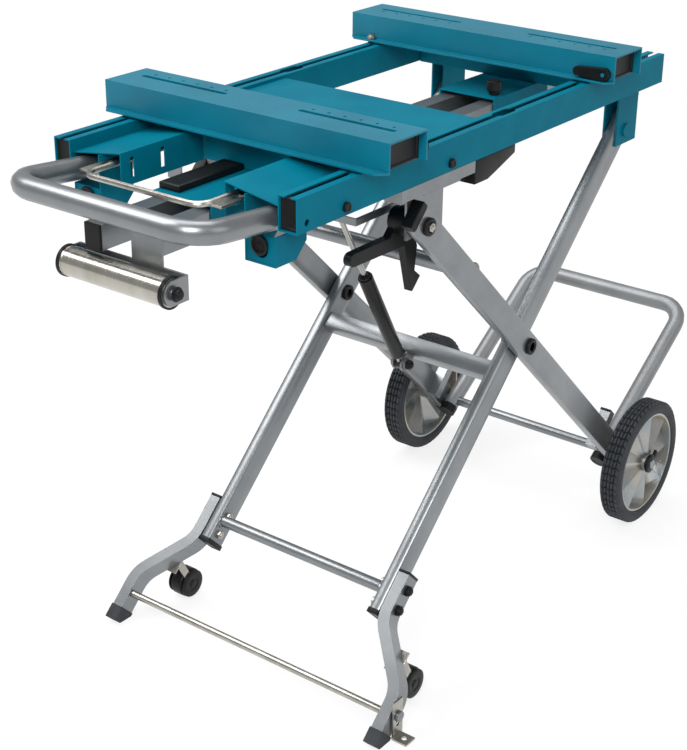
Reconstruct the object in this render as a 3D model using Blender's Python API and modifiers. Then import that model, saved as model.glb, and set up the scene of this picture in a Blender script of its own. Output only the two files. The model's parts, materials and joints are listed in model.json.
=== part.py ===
"""Folding wheeled stand for a miter saw, modelled piece by piece.

Bench coordinates: x runs along the rails from their left end, y across the
stand (minus is the near side), z up from the floor. One root empty shifts
them so that the origin lies on the floor under the middle of the stand.
"""
import math

import bmesh
import bpy
from mathutils import Euler, Matrix, Vector

# Fits
GAP = 0.0003                # between pieces that touch
RUN = 0.0004                # around pins, tubes and guides that move
WELD = 0.001                # depth of a welded piece in the piece that carries it

# Rails
RAIL_LENGTH = 0.896
RAIL_TOP = 0.805            # working height of the rails
RAIL_HEIGHT = 0.044
RAIL_WIDTH = 0.029
RAIL_WALL = 0.002
RAIL_SLOT = 0.009
FRAME_WIDTH = 0.398         # over the rails' outer faces
NOTCH_X = 0.459             # widened entry of the rail slot
NOTCH_LENGTH = 0.045
NOTCH_WIDTH = 0.017
RAIL_HOLE_X = 0.018
RAIL_HOLE_RADIUS = 0.0045
RAIL_BOLT_XS = (0.091, 0.313)
RAIL_BOLT_RISE = 0.011      # bolt centre over the rail's lower edge
BOLT_HEAD_RADIUS = 0.006
BOLT_HEAD_HEIGHT = 0.004

# Saw mounting bars
BAR_HEIGHT = 0.0387
BAR_WIDTH = 0.079
BAR_LENGTH = 0.468
BAR_WALL = 0.0025
BAR_FLANGE = 0.013
BAR_CHAMFER = 0.012         # corner cut off the flange ends
LEFT_BAR_X = 0.168
RIGHT_BAR_X = 0.7115
BAR_SLOT_LENGTH = 0.150
BAR_SLOT_WIDTH = 0.008
BAR_SLOT_MARGIN = 0.024     # slot's end from the bar's end
BAR_SLOT_SHIFT = 0.007      # slot line beside the bar's middle
BAR_HOLE_COUNT = 6
BAR_HOLE_STEP = 0.025
BAR_HOLE_RADIUS = 0.0025
BAR_HOLE_OFFSET = 0.013
SHOE_PAD = 0.0029           # between rail and bar
SHOE_FOOT_WIDTH = 0.018
SHOE_FOOT_HEIGHT = 0.003
CLAMP_HUB_MARGIN = 0.014    # lever axis from the bar's end
CLAMP_HUB_RISE = 0.0125     # lever axis over the bar's lower edge
CLAMP_HUB_RADIUS = 0.009
CLAMP_TIP_RADIUS = 0.0065
CLAMP_REACH = 0.042
CLAMP_WIDTH = 0.010
CLAMP_STUD_RADIUS = 0.003

# Deck, trays and cross members
SHEET = 0.002
DECK_LEFT = 0.1555
DECK_RIGHT = 0.426
DECK_DROP = 0.0045          # deck top under the rail top
DECK_LIP = 0.018
TRAY_LEFT = 0.004
TRAY_INSIDE = 0.034         # tray's inner wall inside the end bracket
TRAY_INNER_DROP = 0.002
TRAY_OUTER_DROP = 0.015
TRAY_WALL_HEIGHT = 0.044
TRAY_SLOT_XS = (0.024, 0.079)
TRAY_SLOT_WIDTH = 0.007
TRAY_SLOT_HEIGHT = 0.026
MEMBER_DEPTH = 0.038        # along x
MEMBER_HEIGHT = 0.0385
FRONT_MEMBER_X = 0.158
REAR_MEMBER_X = 0.770

# Handle and release bail
HANDLE_RADIUS = 0.015
HANDLE_REACH = 0.118        # front bar beyond the rails' left end
HANDLE_END_X = 0.110
HANDLE_BEND = 0.042
HANDLE_DROP = 0.033         # tube axis under the rail top, at the rails' end
HANDLE_TILT = 0.0932        # rise for each metre towards the front
BAIL_RADIUS = 0.004
BAIL_REACH = 0.050
BAIL_INSIDE = 0.0235        # bail's side wires inside the end brackets
BAIL_DROP = 0.017
BAIL_BEND = 0.018
BAIL_END_X = 0.125
LINK_WIDTH = 0.018
LINK_THICKNESS = 0.003
LINK_LAP = 0.0015           # link's edge welded to the wire
LINK_DROP = 0.0185
LINK_LEFT = -0.036
LINK_RIGHT = 0.190
LINK_HOLE_X = 0.030         # from the link's left end
LINK_HOLE_LENGTH = 0.016
LINK_HOLE_WIDTH = 0.007

# End brackets under the handle and stops under the rails
BRACKET_WIDTH = 0.0475
BRACKET_MARGIN = 0.0035     # bracket's outer face inside the rail
BRACKET_DROP = 0.048        # bracket's lower edge under the rails
BRACKET_LENGTH = 0.058
BRACKET_CHAMFER = 0.020
BRACKET_HOLE_RADIUS = 0.011
STOP_LENGTH = 0.096
STOP_DROP = 0.032
STOP_FLAT = 0.031
STOP_BEND = 0.058
STOP_BEND_DROP = 0.0235
STOP_END_DROP = 0.0105

# Extension arms, guides and work rollers
ARM_LENGTH = 1.100
ARM_WIDTH = 0.026
ARM_HEIGHT = 0.033
ARM_DROP = 0.009            # arm top under the rails' lower edge
ARM_WALL = 0.002
ARM_Y = 0.034
PLUG_FLANGE = 0.004
PLUG_SHANK = 0.008
GUIDE_WALL = 0.002
FRONT_GUIDE_LEFT = 0.020
FRONT_GUIDE_LENGTH = 0.180
REAR_GUIDE_LEFT = 0.650
REAR_GUIDE_LENGTH = 0.155
LOCK_RADIUS = 0.011
LOCK_LENGTH = 0.022
LOCK_NECK = 0.006           # collar between guide and knob
LOCK_NECK_RADIUS = 0.0077
LOCK_STEM_RADIUS = 0.004
FRONT_LOCK_X = 0.063
REAR_LOCK_X = 0.672
ROLLER_RADIUS = 0.019
ROLLER_LENGTH = 0.172       # over the end rings
ROLLER_RING = 0.007         # end ring, along the axis
ROLLER_RING_RISE = 0.0006
ROLLER_DROP = 0.023         # roller axis under the arm
ROLLER_SIDE = 0.008         # roller's middle towards its arm
LEFT_ROLLER_OUT = 0.100     # roller axis beyond the rails
RIGHT_ROLLER_OUT = 0.134
ROLLER_AXLE_RADIUS = 0.005
YOKE_THICKNESS = 0.003
YOKE_CLEAR = 0.003          # back plate behind the roller
YOKE_EAR_RADIUS = 0.016
YOKE_TAB_WIDTH = 0.050

# Scissor legs
OPEN_ANGLE = math.radians(43.6)
PIVOT_X = 0.836
PIVOT_DROP = 0.0676         # top pivots under the rails' lower edge
SCISSOR_ARM = 0.385         # top pivot to crossing pivot, on both legs
LEG_DEPTH = 0.040
LEG_THICKNESS = 0.018
LEG_WALL = 0.002
LEG_CORNER = 0.004
LEG_INSET = 0.009           # wheel legs inside the rails' outer faces
LEG_PLAY = 0.002            # between the two legs of a side
PIN_RADIUS = 0.006
PIN_HEAD_RADIUS = 0.010
PIN_HEAD_HEIGHT = 0.004
FOOT_LEG_TOP = 0.022        # leg past the top pivot
MID_TUBE_BELOW = 0.056      # tube centre below the crossing pivot
MID_TUBE_SIZE = 0.028
LOW_TUBE_SHIFT = 0.009
LOW_TUBE_RADIUS = 0.009
PIVOT_BRACKET_WALL = 0.003
PIVOT_BRACKET_LEFT = 0.026
PIVOT_BRACKET_RIGHT = 0.033
PIVOT_BRACKET_BELOW = 0.0215
CAP_FLANGE = 0.004          # end caps' thickness outside the tube

# Bolted feet: distances up the leg from the floor
FOOT_DEPTH = 0.030
FOOT_THICKNESS = 0.018
FOOT_TOP_UP = 0.2377
FOOT_BEND_UP = 0.1652
FOOT_SPLAY_UP = 0.0817
FOOT_END_UP = 0.0190
FOOT_SPLAY = 0.069          # outward offset of the foot's lower run
FOOT_BEND = 0.050
LEG_END_UP = 0.1697
LOW_TUBE_UP = 0.2072
FOOT_BOLT_UPS = (0.2167, 0.1857)
FOOT_BOLT_RADIUS = 0.007
SHOE_UP = 0.0225
SHOE_WALL = 0.0012
FOOT_ROD_UP = 0.0487
FOOT_ROD_RADIUS = 0.0055
FOOT_ROD_SHIFT = 0.006
TAB_WIDTH = 0.022
TAB_THICKNESS = 0.003
TAB_HEIGHT = 0.062
TAB_REACH = 0.022           # tab beyond the strap
TAB_HOLE_RADIUS = 0.004
TAB_TRAVEL = 0.012
TAB_BOLT_RADIUS = 0.004
TAB_BOLT_HEIGHT = 0.036
CASTER_RADIUS = 0.0235
CASTER_WIDTH = 0.022
CASTER_EDGE = 0.0019
CASTER_BACK = 0.061         # caster axis behind the leg's line
CASTER_Y = 0.214
CASTER_CLEAR = 0.0028       # caster over the floor while the stand is up
CASTER_PIN_RADIUS = 0.004
FORK_WALL = 0.002
FORK_TOP_UP = 0.1427
FORK_LOW_UP = 0.1027
FORK_EYE_RADIUS = 0.009
FORK_EYE_ARC = (215, 380)   # degrees round the eye

# Wheel legs, axle, wheels and rest bar
WHEEL_LEG_TOP = 0.020       # leg past the carriage pivot
WHEEL_CAP = 0.0117          # black cap on the leg's top end
WHEEL_LEG_TAIL = 0.028      # leg past the axle
HIGH_TUBE_S = 0.1787        # from the carriage pivot
HIGH_TUBE_SHIFT = 0.0177    # above the leg's line
HIGH_TUBE_RADIUS = 0.0115
AXLE_RADIUS = 0.008
AXLE_END = 0.008            # axle past the wheels
AXLE_COLLAR_RADIUS = 0.013
WHEEL_RADIUS = 0.1077
WHEEL_WIDTH = 0.037
WHEEL_INSIDE = 0.015        # wheel's inner face outside the leg
TYRE_DEPTH = 0.026
TYRE_SHOULDER = 0.007
RIM_BAND = 0.005
RIM_INSET = 0.003
RIM_WEB = 0.006
RIM_SPOKES = 8
SPOKE_TIP = 0.020
SPOKE_ROOT = 0.009
SPOKE_RIDGE = 0.6           # ridge height for each half width
HUB_RADIUS = 0.019
CLIP_RADIUS = 0.013
CLIP_WIDTH = 0.004
REST_RADIUS = 0.014
REST_REACH = 0.3186         # rest bar's axis from the axle
REST_ANGLE = math.radians(34.2)
REST_BEND = 0.040
REST_TAIL = 0.026
STUB_BEFORE_AXLE = 0.064    # fold stop, up the leg from the axle
STUB_SIZE = 0.018
STUB_RISE = 0.050

# Sliding carriage, latch and gas strut
RUNNER_LENGTH = 0.166
RUNNER_AHEAD = 0.073        # runner's left end from the carriage pivot
RUNNER_HEIGHT = 0.016
RUNNER_MARGIN = 0.0025
RUNNER_WALL = 0.0025
FRONT_PLATE_LOW = 0.0606    # front plate's lower edge under the rails
FRONT_PLATE_HIGH = 0.0505
HANGER_AHEAD = 0.022
HANGER_LENGTH = 0.082
HANGER_DROP = 0.018
HANGER_WALL = 0.0035
TIE_LEFT = 0.020            # tie plate from the carriage pivot
TIE_RIGHT = 0.058
TIE_RISE = 0.0158
TIE_THICKNESS = 0.003
LATCH_THICKNESS = 0.012
LATCH_CLEAR = 0.003         # lever inside the foot leg
LATCH_HUB_RADIUS = 0.018
LATCH_GRIP_REACH = 0.102
LATCH_GRIP_SAG = 0.0265     # grip's axis under the pivot
LATCH_GRIP_RADIUS = 0.009
LATCH_GRIP_ROOT = 0.026     # grip's upper edge ahead of the hub
LATCH_HOOK_DROP = 0.1085    # hook's point
LATCH_HOOK_AHEAD = 0.027
LATCH_POINT = 0.0015        # half width at the point
LATCH_BARB_DROP = 0.0915
LATCH_BARB_AHEAD = 0.0455
LATCH_THROAT_DROP = 0.0800
LATCH_THROAT_AHEAD = 0.0320
LATCH_ROOT_DROP = 0.046     # hook's root behind and before the barb
LATCH_ROOT_AHEAD = 0.0365
LATCH_BACK_DROP = 0.038
LATCH_BACK_AHEAD = 0.0068
STRUT_LUG_REACH = 0.0287    # lower eye below the mid tube's centre
STRUT_TOP_AHEAD = 0.0341    # upper eye from the carriage pivot
STRUT_TOP_RISE = 0.0016
STRUT_RADIUS = 0.0085
STRUT_ROD_RADIUS = 0.004
STRUT_NECK = 0.020          # cylinder's lower end from the eye
STRUT_BODY = 0.178
STRUT_BORE = 0.140
STRUT_GRIP = 0.030          # rod left in the cylinder with the stand up
STRUT_EYE_RADIUS = 0.009
STRUT_EYE_WIDTH = 0.012
STRUT_PLATE = 0.003
STRUT_PIN_RADIUS = 0.004

# Places worked out from the sizes above
RAIL_OUT = FRAME_WIDTH / 2
RAIL_IN = RAIL_OUT - RAIL_WIDTH
RAIL_MID = RAIL_OUT - RAIL_WIDTH / 2
RAIL_BOTTOM = RAIL_TOP - RAIL_HEIGHT
BAR_BOTTOM = RAIL_TOP + RUN + SHOE_PAD
BAR_TOP = BAR_BOTTOM + BAR_HEIGHT
BAR_SLOT_Y = (BAR_LENGTH - BAR_SLOT_LENGTH) / 2 - BAR_SLOT_MARGIN
CLAMP_HUB_Y = BAR_LENGTH / 2 - CLAMP_HUB_MARGIN
BRACKET_OUTER_Y = RAIL_IN - BRACKET_MARGIN
BRACKET_INNER_Y = BRACKET_OUTER_Y - BRACKET_WIDTH
TRAY_INNER_Y = BRACKET_INNER_Y - TRAY_INSIDE
BAIL_HALF = BRACKET_INNER_Y - BAIL_INSIDE
DECK_TOP = RAIL_TOP - DECK_DROP
MEMBER_TOP = DECK_TOP - SHEET - GAP
MEMBER_BOTTOM = MEMBER_TOP - MEMBER_HEIGHT
HANDLE_Y = RAIL_IN - HANDLE_RADIUS - RUN
HANDLE_Z = RAIL_TOP - HANDLE_DROP
BAIL_Z = RAIL_TOP - BAIL_DROP
LINK_Z = RAIL_TOP - LINK_DROP
LINK_Y = BAIL_HALF + BAIL_RADIUS + LINK_WIDTH / 2 - LINK_LAP
BRACKET_BOTTOM = RAIL_BOTTOM - BRACKET_DROP
ARM_TOP = RAIL_BOTTOM - ARM_DROP
ARM_BOTTOM = ARM_TOP - ARM_HEIGHT
ARM_OUT = ARM_Y + ARM_WIDTH / 2
GUIDE_TOP = MEMBER_BOTTOM - GAP
GUIDE_OUT = ARM_OUT + RUN + GUIDE_WALL
GUIDE_BOTTOM = ARM_BOTTOM - RUN - GUIDE_WALL
ROLLER_Z = ARM_BOTTOM - ROLLER_DROP
YOKE_BACK = ROLLER_RADIUS + YOKE_CLEAR
PIVOT_Z = RAIL_BOTTOM - PIVOT_DROP
COS = math.cos(OPEN_ANGLE)
SIN = math.sin(OPEN_ANGLE)
CROSS_X = PIVOT_X - SCISSOR_ARM * COS
CROSS_Z = PIVOT_Z - SCISSOR_ARM * SIN
SLIDE_X = PIVOT_X - 2 * SCISSOR_ARM * COS
WHEEL_LEG_OUT = RAIL_OUT - LEG_INSET
WHEEL_LEG_IN = WHEEL_LEG_OUT - LEG_THICKNESS
WHEEL_LEG_Y = WHEEL_LEG_OUT - LEG_THICKNESS / 2
FOOT_LEG_OUT = WHEEL_LEG_IN - LEG_PLAY
FOOT_LEG_IN = FOOT_LEG_OUT - LEG_THICKNESS
FOOT_LEG_Y = FOOT_LEG_OUT - LEG_THICKNESS / 2
MID_TUBE_S = SCISSOR_ARM + MID_TUBE_BELOW
STRUT_LOW_S = MID_TUBE_S + STRUT_LUG_REACH
FOOT_SHIFT = (LEG_DEPTH - FOOT_DEPTH) / 2
FLOOR_S = (PIVOT_Z + FOOT_SHIFT * COS) / SIN
FOOT_Y = FOOT_LEG_OUT + GAP + FOOT_THICKNESS / 2
FOOT_LOW_Y = FOOT_Y + FOOT_SPLAY
FOOT_OUT = FOOT_LOW_Y + FOOT_THICKNESS / 2
SHOE_OUT = FOOT_OUT + GAP + SHOE_WALL
CASTER_Z = CASTER_RADIUS + CASTER_CLEAR
CASTER_S = (PIVOT_Z - CASTER_BACK * COS - CASTER_Z) / SIN
AXLE_S = SCISSOR_ARM + (CROSS_Z - WHEEL_RADIUS) / SIN
AXLE_X = SLIDE_X + AXLE_S * COS
WHEEL_Y = WHEEL_LEG_OUT + WHEEL_INSIDE + WHEEL_WIDTH / 2
REST_Y = WHEEL_LEG_IN - GAP - REST_RADIUS
RUNNER_TOP = RAIL_BOTTOM - RUN
RUNNER_BOTTOM = RUNNER_TOP - RUNNER_HEIGHT
RUNNER_OUT = RAIL_OUT - GAP
RUNNER_IN = RAIL_IN + RUNNER_MARGIN
RUNNER_LEFT = SLIDE_X - RUNNER_AHEAD
HANGER_OUT = WHEEL_LEG_IN - RUN
HANGER_IN = HANGER_OUT - HANGER_WALL
LATCH_OUT = FOOT_LEG_IN - LATCH_CLEAR
LATCH_IN = LATCH_OUT - LATCH_THICKNESS
BRACE_Y = LATCH_IN - RUN - PIN_HEAD_HEIGHT - LATCH_CLEAR
STRUT_TOP_X = SLIDE_X + STRUT_TOP_AHEAD
STRUT_TOP_Z = PIVOT_Z + STRUT_TOP_RISE
STRUT_SIDE = STRUT_EYE_WIDTH / 2 + RUN
TAB_IN = SHOE_OUT + GAP
TAB_OUT = TAB_IN + TAB_THICKNESS + TAB_REACH
HANDLE_TIP = -HANDLE_REACH - HANDLE_RADIUS
REST_TIP = AXLE_X + REST_REACH * math.cos(REST_ANGLE) + REST_RADIUS
ORIGIN_X = (HANDLE_TIP + REST_TIP) / 2
ORIGIN_Y = (SHOE_OUT - TAB_OUT) / 2

SIDES = (("near", -1), ("far", 1))
FLAT = (0, 0, 0)                            # outline in x, y
ALONG_X = (math.pi / 2, 0, math.pi / 2)     # outline in y, z
ALONG_Y = (math.pi / 2, 0, 0)               # outline in x, z
UP_FOOT_LEG = (0, -OPEN_ANGLE, 0)           # outline along the leg and across
DOWN_WHEEL_LEG = (0, OPEN_ANGLE, 0)


def clear_scene():
    """Remove every object and leftover data block."""
    for obj in list(bpy.data.objects):
        bpy.data.objects.remove(obj, do_unlink=True)
    for store in (bpy.data.meshes, bpy.data.curves, bpy.data.materials, bpy.data.collections):
        for block_of_data in list(store):
            store.remove(block_of_data)


def new_collection(name):
    """Add a collection to the scene."""
    made = bpy.data.collections.new(name)
    bpy.context.scene.collection.children.link(made)
    return made


def finish(name, colour, roughness, metallic):
    """A plain Principled material with the piece's colour."""
    mat = bpy.data.materials.new(name)
    mat.use_nodes = True
    shader = mat.node_tree.nodes["Principled BSDF"]
    shader.inputs["Base Color"].default_value = (*colour, 1)
    shader.inputs["Roughness"].default_value = roughness
    shader.inputs["Metallic"].default_value = metallic
    return mat


clear_scene()
PARTS = new_collection("miter_saw_stand")
CUTTERS = new_collection("cutters")
PLACES = {}
TEAL = finish("teal_powder_coat", (0.0, 0.174, 0.254), 0.42, 0.0)
SILVER = finish("silver_paint", (0.39, 0.41, 0.43), 0.38, 0.6)
ZINC = finish("zinc_plate", (0.46, 0.43, 0.36), 0.3, 0.9)
BLACK = finish("black_plastic", (0.02, 0.02, 0.022), 0.5, 0.0)
RUBBER = finish("black_rubber", (0.018, 0.019, 0.021), 0.8, 0.0)
RIM_GREY = finish("grey_moulded_rim", (0.27, 0.29, 0.29), 0.45, 0.2)


def empty(name, at, parent=None):
    """An empty at a bench position, used as a joint's frame."""
    obj = bpy.data.objects.new(name, None)
    PARTS.objects.link(obj)
    obj.parent = parent
    start = PLACES[parent.name] if parent else Vector()
    obj.location = Vector(at) - start
    PLACES[name] = Vector(at) if parent else Vector()
    return obj


ROOT = empty("stand", (-ORIGIN_X, -ORIGIN_Y, 0))


def put(name, mesh, mat, at=(0, 0, 0), turn=FLAT, parent=ROOT):
    """Place a mesh at a bench position under a joint's frame."""
    obj = bpy.data.objects.new(name, mesh)
    PARTS.objects.link(obj)
    obj.parent = parent
    obj.location = Vector(at) - PLACES[parent.name]
    obj.rotation_euler = turn
    mesh.materials.clear()
    mesh.materials.append(mat)
    mesh.shade_smooth()
    mesh.set_sharp_from_angle(angle=math.radians(35))
    return obj


def boolean(obj, mesh, at, turn=FLAT, operation="DIFFERENCE"):
    """Cut a shape out of a piece, or weld it on, at a bench position."""
    tool = bpy.data.objects.new(f"{obj.name}_tool", mesh)
    CUTTERS.objects.link(tool)
    tool.parent = obj.parent
    tool.location = Vector(at) - PLACES[obj.parent.name]
    tool.rotation_euler = turn
    tool.hide_render = True
    tool.display_type = "WIRE"
    mod = obj.modifiers.new(operation.lower(), "BOOLEAN")
    mod.operation = operation
    mod.object = tool


def weld(obj, mesh, at, turn=FLAT):
    """Weld a shape onto a piece."""
    boolean(obj, mesh, at, turn, "UNION")


def mesh_of(build):
    """Run a bmesh builder and return its mesh."""
    bm = bmesh.new()
    build(bm)
    mesh = bpy.data.meshes.new("shape")
    bm.to_mesh(mesh)
    bm.free()
    return mesh


def block(length, width, height):
    """A box centred on its origin."""
    def build(bm):
        bmesh.ops.create_cube(bm, size=1)
        bmesh.ops.scale(bm, vec=(length, width, height), verts=bm.verts)
    return mesh_of(build)


def rods(radius, length, middles=((0, 0, 0),), sides=16):
    """Round bars along local z, one at each middle."""
    def build(bm):
        for middle in middles:
            made = bmesh.ops.create_cone(bm, cap_ends=True, segments=sides, radius1=radius,
                                         radius2=radius, depth=length)
            bmesh.ops.translate(bm, vec=middle, verts=made["verts"])
    return mesh_of(build)


def evaluated(data):
    """The mesh that a curve, or an object with modifiers, comes to, welded and facing out."""
    holder = data
    if not isinstance(data, bpy.types.Object):
        holder = bpy.data.objects.new("shape", data)
    bpy.context.scene.collection.objects.link(holder)
    bpy.context.view_layer.update()
    graph = bpy.context.evaluated_depsgraph_get()
    mesh = bpy.data.meshes.new_from_object(holder.evaluated_get(graph))
    bpy.data.objects.remove(holder, do_unlink=True)
    bm = bmesh.new()
    bm.from_mesh(mesh)
    bmesh.ops.remove_doubles(bm, verts=bm.verts, dist=0.00001)
    bmesh.ops.recalc_face_normals(bm, faces=bm.faces)
    bm.to_mesh(mesh)
    bm.free()
    return mesh


def add_spline(curve, points, closed):
    """Add a straight-sided spline to a curve."""
    spline = curve.splines.new("POLY")
    spline.points.add(len(points) - 1)
    for target, point in zip(spline.points, points):
        target.co = (*Vector(point).to_3d(), 1)
    spline.use_cyclic_u = closed


def plate(outline, thickness, holes=()):
    """A flat outline, with holes, given a thickness along local z."""
    curve = bpy.data.curves.new("shape", "CURVE")
    curve.dimensions = "2D"
    curve.fill_mode = "BOTH"
    curve.extrude = thickness / 2
    for loop in (outline, *holes):
        add_spline(curve, loop, True)
    return evaluated(curve)


def tube(points, radius, resolution=4):
    """A capped round tube along points."""
    curve = bpy.data.curves.new("shape", "CURVE")
    curve.dimensions = "3D"
    curve.bevel_depth = radius
    curve.bevel_resolution = resolution
    curve.use_fill_caps = True
    add_spline(curve, points, False)
    return evaluated(curve)


def turned(profile, steps=24):
    """A closed profile of (radius, height) pairs turned about local z."""
    mesh = bpy.data.meshes.new("shape")
    count = len(profile)
    links = [(i, (i + 1) % count) for i in range(count)]
    off_axis = [(a, b) for a, b in links if profile[a][0] > 0 or profile[b][0] > 0]
    mesh.from_pydata([(radius, 0, height) for radius, height in profile], off_axis, [])
    holder = bpy.data.objects.new("shape", mesh)
    screw = holder.modifiers.new("turn", "SCREW")
    screw.steps = steps
    screw.render_steps = steps
    screw.use_merge_vertices = True
    screw.merge_threshold = 0.00001
    return evaluated(holder)


def bolt(steps, *stations):
    """A turned bolt: pairs of a radius and the height where that radius ends, from its lower end."""
    low = stations[0]
    profile = [(0, low)]
    for radius, high in stations[1:]:
        profile += [(radius, low), (radius, high)]
        low = high
    profile.append((0, low))
    return turned(profile, steps)


def arc(cx, cy, radius, start, end, count=8):
    """Points on an arc, with angles in degrees."""
    angles = [math.radians(start + (end - start) * i / count) for i in range(count + 1)]
    return [(cx + radius * math.cos(a), cy + radius * math.sin(a)) for a in angles]


def circle(cx, cy, radius, count=16):
    """Points round a circle."""
    return arc(cx, cy, radius, 0, 360 * (count - 1) / count, count - 1)


def rectangle(x0, y0, x1, y1):
    """The corners of a rectangle."""
    return [(x0, y0), (x1, y0), (x1, y1), (x0, y1)]


def rounded(width, height, radius, count=2):
    """A rectangle about the origin with round corners."""
    x = width / 2 - radius
    y = height / 2 - radius
    corners = ((x, y, 0), (-x, y, 90), (-x, -y, 180), (x, -y, 270))
    return [point for cx, cy, start in corners for point in arc(cx, cy, radius, start, start + 90, count)]


def stadium(length, width):
    """A slot outline along local y."""
    reach = (length - width) / 2
    return arc(0, reach, width / 2, 0, 180, 6) + arc(0, -reach, width / 2, 180, 360, 6)


def offset(path, distance):
    """A path moved to its left by a distance."""
    def normal(a, b):
        run = math.hypot(b[0] - a[0], b[1] - a[1])
        return (a[1] - b[1]) / run, (b[0] - a[0]) / run
    moved = []
    for i, point in enumerate(path):
        before = normal(path[i - 1], point) if i else normal(point, path[1])
        after = normal(point, path[i + 1]) if i < len(path) - 1 else before
        share = distance / (1 + before[0] * after[0] + before[1] * after[1])
        moved.append((point[0] + (before[0] + after[0]) * share, point[1] + (before[1] + after[1]) * share))
    return moved


def strip(path, thickness):
    """A folded sheet's section: a path and its offset to the left."""
    return list(path) + offset(path, thickness)[::-1]


def handed(path, side, axis=0):
    """A path for one side of the stand: mirrored in y for the near side."""
    if side > 0:
        return list(path)
    return [(-a, b) if axis == 0 else (a, -b) for a, b in reversed(path)]


def bent(points, radius, count=6):
    """A path with its inner corners rounded to a radius."""
    path = [Vector(points[0])]
    for before, corner, after in zip(points, points[1:], points[2:]):
        corner = Vector(corner)
        to_before = (Vector(before) - corner).normalized()
        to_after = (Vector(after) - corner).normalized()
        half = to_before.angle(to_after) / 2
        centre = corner + (to_before + to_after).normalized() * (radius / math.sin(half))
        start = corner + to_before * (radius / math.tan(half)) - centre
        end = corner + to_after * (radius / math.tan(half)) - centre
        sweep = start.angle(end)
        for i in range(count + 1):
            angle = sweep * i / count
            spoke = start * math.sin(sweep - angle) + end * math.sin(angle)
            path.append(centre + spoke / math.sin(sweep))
    path.append(Vector(points[-1]))
    return [tuple(point) for point in path]


def outward(side):
    """The turn that points a local z axis away from the stand's middle."""
    return (-side * math.pi / 2, 0, 0)


def foot_leg(s, n=0.0, y=0.0):
    """A point by the foot leg's line: s down from its pivot, n to its upper side."""
    return PIVOT_X - s * COS - n * SIN, y, PIVOT_Z - s * SIN + n * COS


def up_leg(distance, n=0.0, y=0.0):
    """A point by the foot leg's line, at a distance up from the floor."""
    return foot_leg(FLOOR_S - distance, n, y)


def wheel_leg(s, n=0.0, y=0.0):
    """A point by the wheel leg's line: s down from the carriage, n to its upper side."""
    return SLIDE_X + s * COS + n * SIN, y, PIVOT_Z - s * SIN + n * COS


FOOT_LEGS = empty("foot_leg_frame", foot_leg(0), ROOT)
WHEEL_LEGS = empty("wheel_leg_frame", (CROSS_X, 0, CROSS_Z), ROOT)
CARRIAGE = empty("carriage_frame", wheel_leg(0), ROOT)
STRUT = empty("strut_frame", foot_leg(STRUT_LOW_S), ROOT)


def rails():
    """C-section rails with the slot on top, their bolts, and the carriage's stops below."""
    half = RAIL_WIDTH / 2
    path = [(-RAIL_SLOT / 2, RAIL_TOP), (-half, RAIL_TOP), (-half, RAIL_BOTTOM),
            (half, RAIL_BOTTOM), (half, RAIL_TOP), (RAIL_SLOT / 2, RAIL_TOP)]
    stop = [(0, RAIL_BOTTOM + WELD), (0, RAIL_BOTTOM - STOP_DROP), (STOP_FLAT, RAIL_BOTTOM - STOP_DROP),
            (STOP_BEND, RAIL_BOTTOM - STOP_BEND_DROP), (STOP_LENGTH, RAIL_BOTTOM - STOP_END_DROP),
            (STOP_LENGTH, RAIL_BOTTOM + WELD)]
    stop_left = RUNNER_LEFT + RUNNER_LENGTH + RUN
    bolt_z = RAIL_BOTTOM + RAIL_BOLT_RISE
    head = bolt(12, RAIL_OUT - WELD, (BOLT_HEAD_RADIUS, RAIL_OUT + BOLT_HEAD_HEIGHT))
    for name, side in SIDES:
        y = side * RAIL_MID
        rail = put(f"{name}_rail", plate(strip(path, RAIL_WALL), RAIL_LENGTH), TEAL,
                   (RAIL_LENGTH / 2, y, 0), ALONG_X)
        boolean(rail, plate(stadium(NOTCH_LENGTH, NOTCH_WIDTH), 4 * RAIL_WALL), (NOTCH_X, y, RAIL_TOP),
                (0, 0, math.pi / 2))
        boolean(rail, rods(RAIL_HOLE_RADIUS, 4 * RAIL_WALL, sides=12),
                (RAIL_HOLE_X, side * RAIL_OUT, bolt_z), ALONG_Y)
        for x in RAIL_BOLT_XS:
            weld(rail, head, (x, 0, bolt_z), outward(side))
        weld(rail, plate(stop, RUNNER_OUT - RUNNER_IN),
             (stop_left, side * (RUNNER_OUT + RUNNER_IN) / 2, 0), ALONG_Y)


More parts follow.
